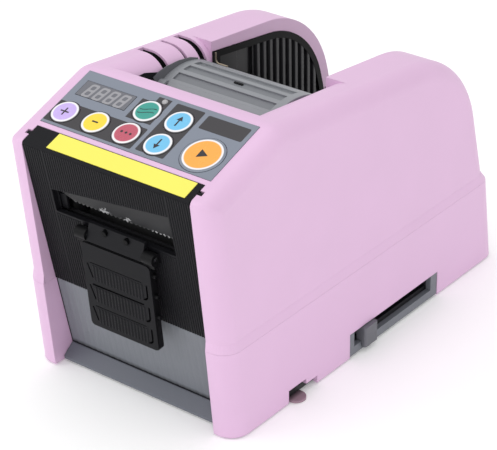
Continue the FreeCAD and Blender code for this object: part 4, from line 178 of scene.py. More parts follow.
def printed(name, outlines, low, high, place, finish):
    """Thin layer between two heights, from flat outlines; an outline inside another is a hole."""
    curve = bpy.data.curves.new(name, "CURVE")
    curve.dimensions = "2D"
    curve.fill_mode = "BOTH"
    curve.extrude = (high - low) / 2
    for points in outlines:
        spline = curve.splines.new("POLY")
        spline.points.add(len(points) - 1)
        for spot, (x, y) in zip(spline.points, points):
            spot.co = (x, y, 0.0, 1.0)
        spline.use_cyclic_u = True
    carrier = bpy.data.objects.new(name, curve)
    bpy.context.scene.collection.objects.link(carrier)
    view = bpy.context.evaluated_depsgraph_get()
    mesh = bpy.data.meshes.new_from_object(carrier.evaluated_get(view))
    bpy.data.objects.remove(carrier)
    bpy.data.curves.remove(curve)
    mesh.transform(place @ Matrix.Translation((0.0, 0.0, (low + high) / 2)))
    mesh.materials.clear()
    mesh.materials.append(finish)
    return mesh


def joined(name, meshes, finish):
    """One mesh out of several, with its doubles merged."""
    gathered = bmesh.new()
    for mesh in meshes:
        gathered.from_mesh(mesh)
        bpy.data.meshes.remove(mesh)
    bmesh.ops.remove_doubles(gathered, verts=gathered.verts, dist=1e-7)
    made = bpy.data.meshes.new(name)
    gathered.to_mesh(made)
    gathered.free()
    made.materials.append(finish)
    return made


def across_bay(y):
    """Place on an upright cut at y: X across, Y up, Z to the front."""
    return Matrix.Translation((0.0, y, 0.0)) @ Matrix.Rotation(math.pi / 2, 4, "X")


def shoulder_top(y):
    """Height of the shoulder's top line."""
    return RIDGE_HEIGHT - TOP_FALL * (y - RIDGE_Y)


def cheek_outline(top):
    """Side of a trough, a skin's thickness inside the rounded shoulder."""
    radius = SHOULDER_ROUND - SKIN
    centre = -BAY_HALF - SHOULDER_ROUND
    low = math.asin((SHOULDER_ROUND - SLOT_DEPTH) / radius)
    turns = [low + (math.pi / 2 - low) * step / SHOULDER_STEPS for step in range(SHOULDER_STEPS + 1)]
    arc = [(centre + radius * math.cos(turn), top - SHOULDER_ROUND + radius * math.sin(turn))
           for turn in turns]
    return arc + [(SLOT_ENDS[0], top - SKIN), (SLOT_ENDS[0], top - SLOT_DEPTH)]


# The black cheeks are painted shade: a dark sheet on each trough side, darker than the gray floor.
slot_shade_black = moulded("slot_shade_black", (0.010, 0.010, 0.012), 0.55, shine=0.2)
slot_gray = moulded("slot_gray", (0.060, 0.062, 0.068), 0.50, drift=0.08)
shade_sheets = []
floors = []
for y, width in SLOT_PLACES:
    top = shoulder_top(y)
    half = width / 2 - CHEEK_FREE
    for low, high in ((-half, -half + CHEEK), (half - CHEEK, half)):
        shade_sheets.append(printed("cheek", [cheek_outline(top)], low, high, across_bay(y), slot_shade_black))
    under = top - SLOT_DEPTH + FLOOR_FREE
    upper = under + FLOOR_THICK
    cut = [(SLOT_ENDS[0], under), (SLOT_ENDS[1], under), (SLOT_ENDS[1], upper), (SLOT_ENDS[0], upper)]
    floors.append(printed("floor", [cut], CHEEK - half, half - CHEEK, across_bay(y), slot_gray))
mount("slot_shade_sheets", joined("slot_shade_sheets", shade_sheets, slot_shade_black), "housing")
mount("slot_floors", joined("slot_floors", floors, slot_gray), "housing")

# Base tray and lower front panel: gray mouldings between the front pillars.
# The panel leans like the cover above it and has shallow upright ribs moulded on its face.
# A black strip of painted shadow runs round its foot and sides; beyond the pillars the tray is painted dark
# as shade in the skirt's notches.
GRAY = (0.180, 0.192, 0.216)
NOTCH_SHADE_BLACK = (0.008, 0.008, 0.010)
CREASE_SHADE_GRAY = (0.030, 0.032, 0.038)
BEND_HEIGHT = 0.1307
BEND = Vector((0.0, -0.12075, BEND_HEIGHT))
COVER_LEAN = math.radians(11.46)
MIDDLE = (0.0, 0.0, 0.0)
ACROSS = (1.0, 0.0, 0.0)
NOTCH_SHADE_REACH = (0.0525, 0.0550)
CREASE_SHADE_HEIGHTS = (0.0114, 0.0088)
PANEL_HIGH = -0.0829
PANEL_LOW = -0.1246
PANEL_SINK = 0.0005
PANEL_HALF = 0.0508
# first and last rib, upper end, lower ends; then pitch, width and height of a rib
PANEL_RIBS = [(-0.0492, 0.0493, PANEL_HIGH, PANEL_LOW, PANEL_LOW)]
PANEL_RIB = (0.0041, 0.0030, 0.00013)
# Strip of painted shadow in the crease round the panel's foot and up its sides:
CREASE_SHADOW_SIDE = PANEL_HALF - 0.0007
CREASE_SHADOW_LOW = PANEL_LOW - 0.0010
CREASE_SHADOW_HIGH = PANEL_LOW + 0.0005
CREASE_SHADOW_LAYER = (-0.0004, 0.00015)


def leaning(lean):
    """Place on a face that leans in below the bend: X across, Y up the face, Z out of it."""
    up = Vector((0.0, -math.sin(lean), math.cos(lean)))
    out = Vector((0.0, -math.cos(lean), -math.sin(lean)))
    turn = Matrix((Vector((1.0, 0.0, 0.0)), up, out)).transposed().to_4x4()
    return Matrix.Translation(BEND) @ turn


COVER_FACE = leaning(COVER_LEAN)


def rib_row_tree():
    """Geometry Nodes tree: a row of ribs whose lower ends follow a straight line, and its inputs."""
    tree = bpy.data.node_groups.new("rib_row", "GeometryNodeTree")
    ask = {}
    for name, kind in (("Count", "Int"), ("First", "Float"), ("Pitch", "Float"), ("High", "Float"),
                       ("Low Left", "Float"), ("Low Right", "Float"), ("Width", "Float"),
                       ("Height", "Float"), ("Finish", "Material")):
        socket = tree.interface.new_socket(name=name, in_out="INPUT", socket_type=f"NodeSocket{kind}")
        ask[name] = socket.identifier
    tree.interface.new_socket(name="Ribs", in_out="OUTPUT", socket_type="NodeSocketGeometry")
    link = tree.links.new
    given = tree.nodes.new("NodeGroupInput")
    made = tree.nodes.new("NodeGroupOutput")

    def worked_out(kind, one, other):
        """Result of a math node with two inputs."""
        step = tree.nodes.new("ShaderNodeMath")
        step.operation = kind
        for socket, value in zip(step.inputs, (one, other)):
            if isinstance(value, float):
                socket.default_value = value
            else:
                link(value, socket)
        return step.outputs[0]

    def vector(x, y, z):
        """Vector of three sockets; a missing one is 0."""
        step = tree.nodes.new("ShaderNodeCombineXYZ")
        for socket, value in zip(step.inputs, (x, y, z)):
            if value is not None:
                link(value, socket)
        return step.outputs[0]

    row = tree.nodes.new("GeometryNodeMeshLine")
    link(given.outputs["Count"], row.inputs["Count"])
    link(vector(given.outputs["First"], None, None), row.inputs["Start Location"])
    link(vector(given.outputs["Pitch"], None, None), row.inputs["Offset"])
    index = tree.nodes.new("GeometryNodeInputIndex")
    share = worked_out("DIVIDE", index.outputs[0], worked_out("SUBTRACT", given.outputs["Count"], 1.0))
    rise = worked_out("SUBTRACT", given.outputs["Low Right"], given.outputs["Low Left"])
    low = worked_out("ADD", given.outputs["Low Left"], worked_out("MULTIPLY", rise, share))
    length = worked_out("SUBTRACT", given.outputs["High"], low)
    middle = worked_out("MULTIPLY", worked_out("ADD", given.outputs["High"], low), 0.5)
    spread = tree.nodes.new("GeometryNodeSetPosition")
    link(row.outputs["Mesh"], spread.inputs["Geometry"])
    link(vector(None, middle, None), spread.inputs["Offset"])
    bar = tree.nodes.new("GeometryNodeMeshCylinder")
    bar.inputs["Vertices"].default_value = 8
    bar.inputs["Radius"].default_value = 1.0
    bar.inputs["Depth"].default_value = 1.0
    lay = tree.nodes.new("GeometryNodeTransform")
    lay.inputs["Rotation"].default_value = (math.pi / 2, 0.0, 0.0)
    link(bar.outputs["Mesh"], lay.inputs["Geometry"])
    placed = tree.nodes.new("GeometryNodeInstanceOnPoints")
    link(spread.outputs["Geometry"], placed.inputs["Points"])
    link(lay.outputs["Geometry"], placed.inputs["Instance"])
    half = worked_out("MULTIPLY", given.outputs["Width"], 0.5)
    link(vector(half, length, given.outputs["Height"]), placed.inputs["Scale"])
    solid = tree.nodes.new("GeometryNodeRealizeInstances")
    finish = tree.nodes.new("GeometryNodeSetMaterial")
    link(placed.outputs["Instances"], solid.inputs["Geometry"])
    link(solid.outputs["Geometry"], finish.inputs["Geometry"])
    link(given.outputs["Finish"], finish.inputs["Material"])
    link(finish.outputs["Geometry"], made.inputs["Ribs"])
    return tree, ask


RIB_ROW, RIB_ASK = rib_row_tree()


def ribs(rows, pitch, width, height, finish, place):
    """One mesh of rib rows: each row is first and last x, upper end, lower ends left and right."""
    gathered = []
    for first, last, high, low_left, low_right in rows:
        count = int((last - first) / pitch) + 1
        carrier = bpy.data.objects.new("rib_carrier", bpy.data.meshes.new("rib_carrier"))
        bpy.context.scene.collection.objects.link(carrier)
        modifier = carrier.modifiers.new("ribs", "NODES")
        modifier.node_group = RIB_ROW
        values = {"Count": count, "First": first, "Pitch": pitch, "High": high, "Low Left": low_left,
                  "Low Right": low_right, "Width": width, "Height": height, "Finish": finish}
        for name, value in values.items():
            modifier[RIB_ASK[name]] = value
        view = bpy.context.evaluated_depsgraph_get()
        gathered.append(bpy.data.meshes.new_from_object(carrier.evaluated_get(view)))
        bpy.data.objects.remove(carrier)
    mesh = joined("ribs", gathered, finish)
    mesh.transform(place)
    return mesh


def along(made, axis):
    """Place along an axis, for a finish that changes over a piece."""
    place = made.node_tree.nodes.new("ShaderNodeTexCoord")
    apart = made.node_tree.nodes.new("ShaderNodeSeparateXYZ")
    made.node_tree.links.new(place.outputs["Object"], apart.inputs["Vector"])
    return apart.outputs[axis]


def away(made, spot, weights=(1.0, 1.0, 1.0)):
    """Distance from a spot, with a weight for each axis."""
    link = made.node_tree.links.new
    place = made.node_tree.nodes.new("ShaderNodeTexCoord")
    last = place.outputs["Object"]
    for kind, other in (("SUBTRACT", spot), ("MULTIPLY", weights)):
        step = made.node_tree.nodes.new("ShaderNodeVectorMath")
        step.operation = kind
        step.inputs[1].default_value = other
        link(last, step.inputs[0])
        last = step.outputs["Vector"]
    reach = made.node_tree.nodes.new("ShaderNodeVectorMath")
    reach.operation = "LENGTH"
    link(last, reach.inputs[0])
    return reach.outputs["Value"]


def turning(made, value, start, end, colour):
    """Let a finish turn to another colour while a value goes from start to end."""
    nodes = made.node_tree.nodes
    link = made.node_tree.links.new
    shader = nodes["Principled BSDF"]
    share = nodes.new("ShaderNodeMapRange")
    share.inputs["From Min"].default_value = start
    share.inputs["From Max"].default_value = end
    tint = nodes.new("ShaderNodeMix")
    tint.data_type = "RGBA"
    tint.inputs["B"].default_value = shade(colour, 1.0)
    link(value, share.inputs["Value"])
    link(share.outputs["Result"], tint.inputs["Factor"])
    link(shader.inputs["Base Color"].links[0].from_socket, tint.inputs["A"])
    link(tint.outputs["Result"], shader.inputs["Base Color"])


gray_tray = moulded("gray_tray", (0.130, 0.140, 0.168), 0.46, drift=0.05, soft=0.0004)
# Painted shade: the tray turns black beyond the pillars, where it lies in the skirt's notches.
turning(gray_tray, away(gray_tray, MIDDLE, ACROSS), *NOTCH_SHADE_REACH, NOTCH_SHADE_BLACK)
gray_panel = moulded("gray_panel", GRAY, 0.46, drift=0.05)
# Painted shade: the panel turns darker towards its foot, in the crease.
turning(gray_panel, along(gray_panel, "Z"), *CREASE_SHADE_HEIGHTS, CREASE_SHADE_GRAY)
# The black strip round the panel's foot and sides is painted shadow, a dark sheet in the crease.
crease_shadow_black = moulded("crease_shadow_black", (0.012, 0.012, 0.015), 0.60, grain=0.0006, drift=0.10, shine=0.2)
dress(gray_tray, "base_plate")
dress(gray_panel, "lower_front_panel")
panel_face = COVER_FACE @ Matrix.Translation((0.0, 0.0, -PANEL_SINK))
mount("panel_ribs", ribs(PANEL_RIBS, *PANEL_RIB, gray_panel, panel_face), "housing")
crease_shadow = [(-PANEL_HALF, CREASE_SHADOW_LOW), (PANEL_HALF, CREASE_SHADOW_LOW), (PANEL_HALF, PANEL_HIGH), (CREASE_SHADOW_SIDE, PANEL_HIGH),
        (CREASE_SHADOW_SIDE, CREASE_SHADOW_HIGH), (-CREASE_SHADOW_SIDE, CREASE_SHADOW_HIGH), (-CREASE_SHADOW_SIDE, PANEL_HIGH),
        (-PANEL_HALF, PANEL_HIGH)]
crease_shadow_strip = printed("panel_crease_shadow", [crease_shadow], *CREASE_SHADOW_LAYER, panel_face, crease_shadow_black)
mount("panel_crease_shadow", crease_shadow_strip, "housing")

# Bay liners: two black mouldings behind the windows in the walls' inner faces.
# Satin plastic with upright ribs and a smooth channel that the reel's axle drops into.
# A black band of painted shade lies round the front and the upper rim of each window.
RIM_START = Vector((0.00575, 0.13575))
RIM_CENTRE = Vector((0.04187, 0.07706))
RIM_RADIUS = 0.05325
RIM_FALL = 0.137
RIM_TURNS = (82.2, 14.5)
RIM_STEPS = 24
LINER_SHADE_REACH = (0.038, 0.014)
# Painted shade: a black band on the walls' inner faces round each window, where the liner sits deeper.
SHADE_BAND = 0.0036
SHADE_BAND_FRONT = 0.0019
SHADE_BAND_LOW = 0.1000
SHADE_BAND_TAIL = 0.014
SHADE_BAND_SIDES = (0.03470, 0.03538)
SIDE_VIEW = Matrix(((0, 0, 1, 0), (1, 0, 0, 0), (0, 1, 0, 0), (0, 0, 0, 1)))


def shade_band_outline():
    """Band along a window's front and upper rim, seen from the side."""
    first, last = RIM_TURNS
    turns = [math.radians(first + (last - first) * step / RIM_STEPS) for step in range(RIM_STEPS + 1)]
    ways = [Vector((math.cos(turn), math.sin(turn))) for turn in turns]
    down = SHADE_BAND_TAIL * Vector((ways[-1].y, -ways[-1].x))
    outer = [RIM_CENTRE + RIM_RADIUS * way for way in ways]
    outer.append(outer[-1] + down)
    inner = [RIM_CENTRE + (RIM_RADIUS - SHADE_BAND) * way for way in ways]
    inner.append(inner[-1] + down)
    high = RIM_START.y + RIM_FALL * (RIM_START.x - SHADE_BAND_FRONT)
    rear = RIM_START.x + SHADE_BAND / 2
    return ([(SHADE_BAND_FRONT, SHADE_BAND_LOW), (SHADE_BAND_FRONT, high)] + outer + inner[::-1]
            + [(rear, RIM_START.y - RIM_FALL * SHADE_BAND / 2 - SHADE_BAND), (rear, SHADE_BAND_LOW)])


liner_black = moulded("liner_black", (0.021, 0.021, 0.024), 0.36, drift=0.12, shine=0.4, soft=0.0003)
# Painted shade: the liner turns darker towards its front.
turning(liner_black, along(liner_black, "Y"), *LINER_SHADE_REACH, (0.004, 0.004, 0.005))
# The band is a black sheet of painted shade, not a part of its own.
shade_band_black = moulded("shade_band_black", (0.0035, 0.0035, 0.0042), 0.46, grain=0.0006, drift=0.10, shine=0.10,
                       soft=0.0003)
dress(liner_black, "left_bay_liner", "right_bay_liner")
near, far = SHADE_BAND_SIDES
shade_bands = [printed("shade_band", [shade_band_outline()], low, high, SIDE_VIEW, shade_band_black)
           for low, high in ((-far, -near), (near, far))]
mount("window_shade_bands", joined("window_shade_bands", shade_bands, shade_band_black), "housing")

# Tape core on its axle: a black moulded hub that turns on a gray axle.
# The axle's bushes drop into the liners' channels from above.
hub_black = moulded("hub_black", (0.018, 0.018, 0.020), 0.42, drift=0.12, shine=0.4, soft=0.0003)
axle_gray = moulded("axle_gray", GRAY, 0.40)
dress(hub_black, "reel_hub")
dress(axle_gray, "reel_axle")

# Frame and feed drive: zinc-plated sheet plates on steel spacers, screwed to the tray.
# Rubber rollers on ground shafts, nylon gears, and a round geared motor in a plated can.
zinc = moulded("zinc_plate", (0.560, 0.570, 0.580), 0.34, grain=0.0012, drift=0.08, patch=0.012, metal=1.0)
ground_steel = moulded("ground_steel", (0.620, 0.630, 0.650), 0.24, grain=0.0005, drift=0.05, metal=1.0)
roller_rubber = moulded("roller_rubber", (0.035, 0.035, 0.036), 0.72, grain=0.0005, relief=0.00002,
                        drift=0.12)
nylon = moulded("nylon", (0.760, 0.755, 0.730), 0.45, grain=0.0006)
dress(zinc, "left_frame", "right_frame", "feed_motor", "cutter_motor")
dress(ground_steel, "frame_spacers", "feed_roller_shaft", "pinch_roller_shaft")
dress(roller_rubber, "feed_roller", "pinch_roller")
dress(nylon, "feed_gear", "motor_pinion")

# Cutter: a toothed fixed blade screwed to its bar, and a moving blade on a carrier.
# Fixed blade of black-coated steel with a painted highlight along its edge and painted glints, partly bare
# steel, at some of its teeth; the rest plated and ground.
EDGE_SHARE = 0.22
RAGGED_GRAIN = 1 / 900
RAGGED_SHARE = 1.6
GLINT_FROM = 1.35
GLINT_TO = 1.15
# up and out on the cover's face; then the heights between which the painted highlight along the edge sets
# in
BLADE_EDGE = (-0.0302, -0.0036)
EDGE_HIGHLIGHT_HEIGHTS = (0.1030, 0.1019)
# place along the edge and reach of each painted glint, partly bare steel
TOOTH_GLINTS = ((-0.0090, 0.0056), (0.0050, 0.0050), (0.0205, 0.0018), (0.0228, 0.0019), (0.0252, 0.0020),
              (0.0276, 0.0020), (0.0300, 0.0021), (0.0324, 0.0022))


def coated_blade(name, colour, bare_and_glint):
    """Black coating with a painted highlight along the cutting edge, and painted glints, partly bare steel,
    at some of the teeth.
    """
    made = moulded(name, colour, 0.38, grain=0.0005, drift=0.10, patch=0.008, shine=0.3)
    # Painted highlight along the cutting edge.
    turning(made, along(made, "Z"), *EDGE_HIGHLIGHT_HEIGHTS, shade(bare_and_glint, EDGE_SHARE))
    nodes = made.node_tree.nodes
    link = made.node_tree.links.new
    place = nodes.new("ShaderNodeTexCoord")
    rough = nodes.new("ShaderNodeTexNoise")
    rough.inputs["Scale"].default_value = 1 / RAGGED_GRAIN
    rough.inputs["Detail"].default_value = 3.0
    link(place.outputs["Object"], rough.inputs["Vector"])
    # Painted glints at some of the teeth, partly bare steel.
    for x, reach in TOOTH_GLINTS:
        ragged = nodes.new("ShaderNodeMath")
        ragged.operation = "MULTIPLY_ADD"
        ragged.inputs[1].default_value = RAGGED_SHARE * reach
        link(rough.outputs["Fac"], ragged.inputs[0])
        link(away(made, COVER_FACE @ Vector((x, *BLADE_EDGE))), ragged.inputs[2])
        turning(made, ragged.outputs[0], GLINT_FROM * reach, GLINT_TO * reach, bare_and_glint)
    return made


black_steel = coated_blade("black_steel", (0.013, 0.013, 0.015), (0.360, 0.360, 0.370))
dark_steel = moulded("dark_steel", (0.016, 0.016, 0.018), 0.45, grain=0.0008, drift=0.10, shine=0.3)
crank_gray = moulded("crank_gray", GRAY, 0.45)
dress(black_steel, "fixed_blade")
dress(dark_steel, "moving_blade", "blade_bar")
dress(zinc, "blade_carrier")
dress(crank_gray, "cutter_crank")

# Circuit boards: green laminate under the keypad and in the left wall, on moulded posts.
# The key switches and the digit module are soldered to the keypad's board.
laminate = moulded("laminate", (0.030, 0.150, 0.065), 0.35, grain=0.0015, drift=0.15, patch=0.006)
part_black = moulded("part_black", (0.022, 0.022, 0.024), 0.45)
dress(laminate, "control_board", "power_board")
dress(part_black, "key_switches", "display_module")

# Guide cover: gray arched moulding with channels along it, on two steel pivot pins.
# A nylon roller turns under it, a bent wire is clipped to its rear edge, and a sight slot is glazed.
# A strip closes the groove over the pins; a dark gray cheek, partly painted shade, and a black pocket plate
# of painted shade fill the gap to the left wall.
GUIDE_AXIS = Vector((0.0, -0.02275, 0.1019))
GUIDE_RADIUS = 0.0370
CHANNEL_FLOOR = 0.0361
ROUND_AXIS = (0.0, 1.0, 1.0)
SIGHT_TURN = math.radians(0.5)
SIGHT_SHIFT = 0.0015
SIGHT_LONG = 0.00268
SIGHT_WIDE = 0.00063
SIGHT_CORNER = 0.0003
SIGHT_LAYER = (-0.0012, -0.0004)
STRIP_TURNS = (112.5, 123.0)
STRIP_OUTER = 0.03710
STRIP_INNER = 0.03680
STRIP_HALF = 0.0304
# radius and angles of the cheek's lower edge; angle and radius of each point of its upper edge
SIDE_CHEEK_FOOT = (0.0345, 120, 70)
SIDE_CHEEK_TOP = ((70, 0.0378), (80, 0.0386), (93, 0.0395), (106, 0.0413), (114, 0.0426), (120, 0.0432))
SIDE_CHEEK_LAYER = (-0.03495, -0.03462)
POCKET = ((-0.0545, 0.1250), (-0.0390, 0.1250), (-0.0390, 0.1382), (-0.0402, 0.1405), (-0.0455, 0.1423),
          (-0.0500, 0.1437), (-0.0545, 0.1437))
POCKET_LAYER = (-0.03538, -0.03505)
ROUND_STEPS = 4
guide_gray = moulded("guide_gray", (0.265, 0.276, 0.297), 0.44, drift=0.06, soft=0.0004)
# Painted shade: the channel floors are darker than the arch's outer face.
turning(guide_gray, away(guide_gray, GUIDE_AXIS, ROUND_AXIS), GUIDE_RADIUS, CHANNEL_FLOOR,
        (0.185, 0.194, 0.212))
# The cheek is dark gray, partly its own tone and partly painted shade in the gap; the pocket plate is black
# as painted shade.
cheek_gray_and_shade = moulded("cheek_gray_and_shade", (0.125, 0.130, 0.142), 0.46, drift=0.08)
pocket_shade_black = moulded("pocket_shade_black", (0.006, 0.006, 0.008), 0.55, drift=0.10, shine=0.15)
wire_brass = moulded("wire_brass", (0.300, 0.250, 0.190), 0.35, grain=0.0004, drift=0.15, patch=0.003,
                     metal=1.0)
sight_black = moulded("sight_black", (0.004, 0.004, 0.005), 0.40, grain=0.0006, shine=0.1)
dress(guide_gray, "guide_cover")
dress(ground_steel, "guide_cover_pins", "guide_roller_shaft")
dress(wire_brass, "tape_guide_wire")
dress(nylon, "guide_roller")


def on_guide(turn, x=0.0):
    """Place on the arch: X across, Y forward along it, Z out; the turn counts from its crest."""
    return (Matrix.Translation(GUIDE_AXIS + Vector((x, 0.0, 0.0))) @ Matrix.Rotation(turn, 4, "X")
            @ Matrix.Translation((0.0, 0.0, GUIDE_RADIUS)))


def rounded_field(left, right, low, high, corner=0.0008):
    """Outline of a rectangle with round corners."""
    points = []
    for cx, cy, start in ((right - corner, high - corner, 0.0), (left + corner, high - corner, 0.5),
                          (left + corner, low + corner, 1.0), (right - corner, low + corner, 1.5)):
        for step in range(ROUND_STEPS + 1):
            turn = math.pi * (start + 0.5 * step / ROUND_STEPS)
            points.append((cx + corner * math.cos(turn), cy + corner * math.sin(turn)))
    return points


sight = rounded_field(-SIGHT_LONG, SIGHT_LONG, -SIGHT_WIDE, SIGHT_WIDE, SIGHT_CORNER)
pane = printed("sight_pane", [sight], *SIGHT_LAYER, on_guide(SIGHT_TURN, SIGHT_SHIFT), sight_black)
mount("sight_pane", pane, "guide_cover")


def guide_arc(radius, start, end, steps=16):
    """Points round the arch's axis, seen from the side; angles in degrees up from the back."""
    turns = [math.radians(start + (end - start) * step / steps) for step in range(steps + 1)]
    return [(GUIDE_AXIS.y + radius * math.cos(turn), GUIDE_AXIS.z + radius * math.sin(turn))
            for turn in turns]


strip = guide_arc(STRIP_OUTER, *STRIP_TURNS) + guide_arc(STRIP_INNER, *STRIP_TURNS[::-1])
bar = printed("guide_strip", [strip], -STRIP_HALF, STRIP_HALF, SIDE_VIEW, guide_gray)
mount("guide_strip", bar, "guide_cover")
cheek_top = [guide_arc(radius, turn, turn, 1)[0] for turn, radius in SIDE_CHEEK_TOP]
cheek = guide_arc(*SIDE_CHEEK_FOOT) + cheek_top
plate = printed("guide_cheek", [cheek], *SIDE_CHEEK_LAYER, SIDE_VIEW, cheek_gray_and_shade)
mount("guide_cheek", plate, "guide_cover")
# Pocket plate: a black sheet of painted shade beside the pivot.
plate = printed("pivot_pocket_shade", [POCKET], *POCKET_LAYER, SIDE_VIEW, pocket_shade_black)
mount("pivot_pocket_shade", plate, "housing")

# Front cover: black sheet moulding bent back at the top, hung on two pivot tabs.
# Its front carries fine upright ribs, left out round the tape outlet and under the bracket.
# Black baffles behind the outlet's ends and a guard at its left are dark sheets of painted shade that close
# the view into the frame.
COVER_EDGE = 0.0502
COVER_TOP = -0.0012
COVER_LOW = -0.0824
# pitch, width and height of a rib
COVER_RIB = (0.00145, 0.00100, 0.00028)
OUTLET_LEFT = -0.0380
OUTLET_RIGHT = 0.0358
OUTLET_RIM = 0.0008
OUTLET_LOW = -0.0378
OUTLET_HIGH_LEFT = -0.0233
OUTLET_HIGH_RIGHT = -0.0135
HINGE_LEFT = -0.0232
HINGE_RIGHT = 0.0262
HINGE_LOW = -0.0442
# Black sheets of painted shade behind the outlet's ends:
# inner and outer end, lower and upper edge, back and front of each layer
SHADE_SCREENS = (
    (0.0367, 0.0480, -0.0450, -0.0100, -0.0032, -0.0024),
    (0.0369, 0.0479, -0.0362, -0.0101, -0.0050, -0.0032),
)
# left, right, lower and upper edge, corner radius
SHADE_GUARD = (-0.0369, -0.0331, -0.0362, -0.0277, 0.0005)
SHADE_GUARD_LAYER = (-0.0050, -0.0034)
cover_black = moulded("cover_black", (0.0080, 0.0080, 0.0100), 0.42, drift=0.12, shine=0.12, soft=0.0003)
dress(cover_black, "front_cover")
cover_rows = [
    (-COVER_EDGE, OUTLET_LEFT - OUTLET_RIM, COVER_TOP, COVER_LOW, COVER_LOW),
    (OUTLET_RIGHT + OUTLET_RIM, COVER_EDGE, COVER_TOP, COVER_LOW, COVER_LOW),
    (OUTLET_LEFT, OUTLET_RIGHT, COVER_TOP, OUTLET_HIGH_LEFT, OUTLET_HIGH_RIGHT),
    (OUTLET_LEFT, HINGE_LEFT, OUTLET_LOW, COVER_LOW, COVER_LOW),
    (HINGE_RIGHT, OUTLET_RIGHT, OUTLET_LOW, COVER_LOW, COVER_LOW),
    (HINGE_LEFT, HINGE_RIGHT, HINGE_LOW, COVER_LOW, COVER_LOW),
]
mount("cover_ribs", ribs(cover_rows, *COVER_RIB, cover_black, COVER_FACE), "front_cover")
# The baffles and the guard are painted shade, in the cover's black.
shade_screens = []
for near, far, low, high, back, front in SHADE_SCREENS:
    pair = [rounded_field(-far, -near, low, high), rounded_field(near, far, low, high)]
    shade_screens.append(printed("shade_screen", pair, back, front, COVER_FACE, cover_black))
shade_screens.append(printed("shade_screen", [rounded_field(*SHADE_GUARD)], *SHADE_GUARD_LAYER, COVER_FACE, cover_black))
mount("outlet_shade_screens", joined("outlet_shade_screens", shade_screens, cover_black), "front_cover")

# Strip on the bent part of the cover: bare yellow self-adhesive film.
# It lies flat on the hood, a little short of its left end.
yellow_film = moulded("yellow_film", (0.890, 0.820, 0.115), 0.38, grain=0.0008, drift=0.02)
dress(yellow_film, "accent_strip")

# Outlet bracket and flap: black mouldings under the outlet, joined by a hinge pin.
# The flap's plate carries a ribbed face with slits and hooked grooves between its fields; the plate is
# darker than the face, painted shade in the slits and grooves.
CHUTE_SHIFT = 0.0016
FLAP_HINGE = (CHUTE_SHIFT, -0.0402, 0.0034)
FLAP_HANG = math.radians(6.0)
FLAP_HALF = 0.0212
FLAP_TOP = -0.0038
FLAP_LOW = -0.0519
FLAP_FRONT = 0.0015
FACE_THICK = 0.0006
FACE_CORNER = 0.0022
# upper edge of each field and width of the slit along it
FIELD_TOPS = ((-0.0144, 0.00045), (-0.0270, 0.00100), (-0.0396, 0.00045))
FIELD_HEIGHT = 0.0108
# ends of the slit; hook and slant at its right and left, spans from the field's upper and lower edge
SLIT = (-0.0168, 0.0152)
HOOK_STEPS = 6
HOOK_X = 0.0181
HOOK_ROUND = 0.0024
HOOK_WIDTH = 0.0010
HOOK_SPAN = (0.0006, 0.0016)
SLANT_X = (-0.0186, -0.0160)
SLANT_SPAN = (0.0008, 0.0022)
SLANT_WIDTH = 0.0009
FACE_ROW = (-0.0150, 0.0150)
FACE_ROW_SPAN = (0.0012, 0.0010)
# pitch, width and height of a rib
FACE_RIB = (0.0020, 0.0013, 0.00022)


def stripe(path, width):
    """Outline of a stroke of even width along a path."""
    sides = ([], [])
    for i, (x, y) in enumerate(path):
        before = path[max(i - 1, 0)]
        after = path[min(i + 1, len(path) - 1)]
        pace = Vector((after[0] - before[0], after[1] - before[1])).normalized() * width / 2
        sides[0].append((x - pace.y, y + pace.x))
        sides[1].append((x + pace.y, y - pace.x))
    return sides[0] + sides[1][::-1]


def hook(x, high, low, radius):
    """Groove at a field's right end: down, and round to the left."""
    bend = [(x - radius + radius * math.cos(turn), low + radius + radius * math.sin(turn))
            for turn in [-0.5 * math.pi * step / HOOK_STEPS for step in range(HOOK_STEPS + 1)]]
    return [(x, high)] + bend


flap_place = COVER_FACE @ Matrix.Translation(FLAP_HINGE) @ Matrix.Rotation(-FLAP_HANG, 4, "X")
# The plate is darker than its face: partly its black plastic, partly painted shade in the slits and
# grooves.
flap_black_and_shade = moulded("flap_black_and_shade", (0.0040, 0.0040, 0.0048), 0.50, drift=0.12, shine=0.15)
face_black = moulded("face_black", (0.0074, 0.0074, 0.0092), 0.44, drift=0.18, patch=0.010, shine=0.11,
                     soft=0.0002)
bracket_black = moulded("bracket_black", (0.0085, 0.0085, 0.0105), 0.40, drift=0.12, shine=0.16,
                        soft=0.0003)
pin_black = moulded("pin_black", (0.0030, 0.0030, 0.0036), 0.40, drift=0.10, shine=0.08, soft=0.0004)
dress(flap_black_and_shade, "outlet_flap")
dress(bracket_black, "outlet_bracket")
dress(pin_black, "bracket_pins")
dress(ground_steel, "flap_hinge_pin")
face_outlines = [rounded_field(-FLAP_HALF, FLAP_HALF, FLAP_LOW, FLAP_TOP, FACE_CORNER)]
face_rows = []
for high, slit in FIELD_TOPS:
    low = high - FIELD_HEIGHT
    groove = hook(HOOK_X, high - HOOK_SPAN[0], low + HOOK_SPAN[1], HOOK_ROUND)
    slant = [(SLANT_X[0], high - SLANT_SPAN[0]), (SLANT_X[1], low + SLANT_SPAN[1])]
    face_outlines.append(stripe([(SLIT[0], high), (SLIT[1], high)], slit))
    face_outlines.append(stripe(groove, HOOK_WIDTH))
    face_outlines.append(stripe(slant, SLANT_WIDTH))
    foot = low + FACE_ROW_SPAN[1]
    face_rows.append((*FACE_ROW, high - FACE_ROW_SPAN[0], foot, foot))
face = printed("flap_face", face_outlines, FLAP_FRONT, FLAP_FRONT + FACE_THICK, flap_place, face_black)
mount("flap_face", face, "outlet_flap")
rib_place = flap_place @ Matrix.Translation((0.0, 0.0, FLAP_FRONT + FACE_THICK))
mount("flap_ribs", ribs(face_rows, *FACE_RIB, face_black, rib_place), "outlet_flap")

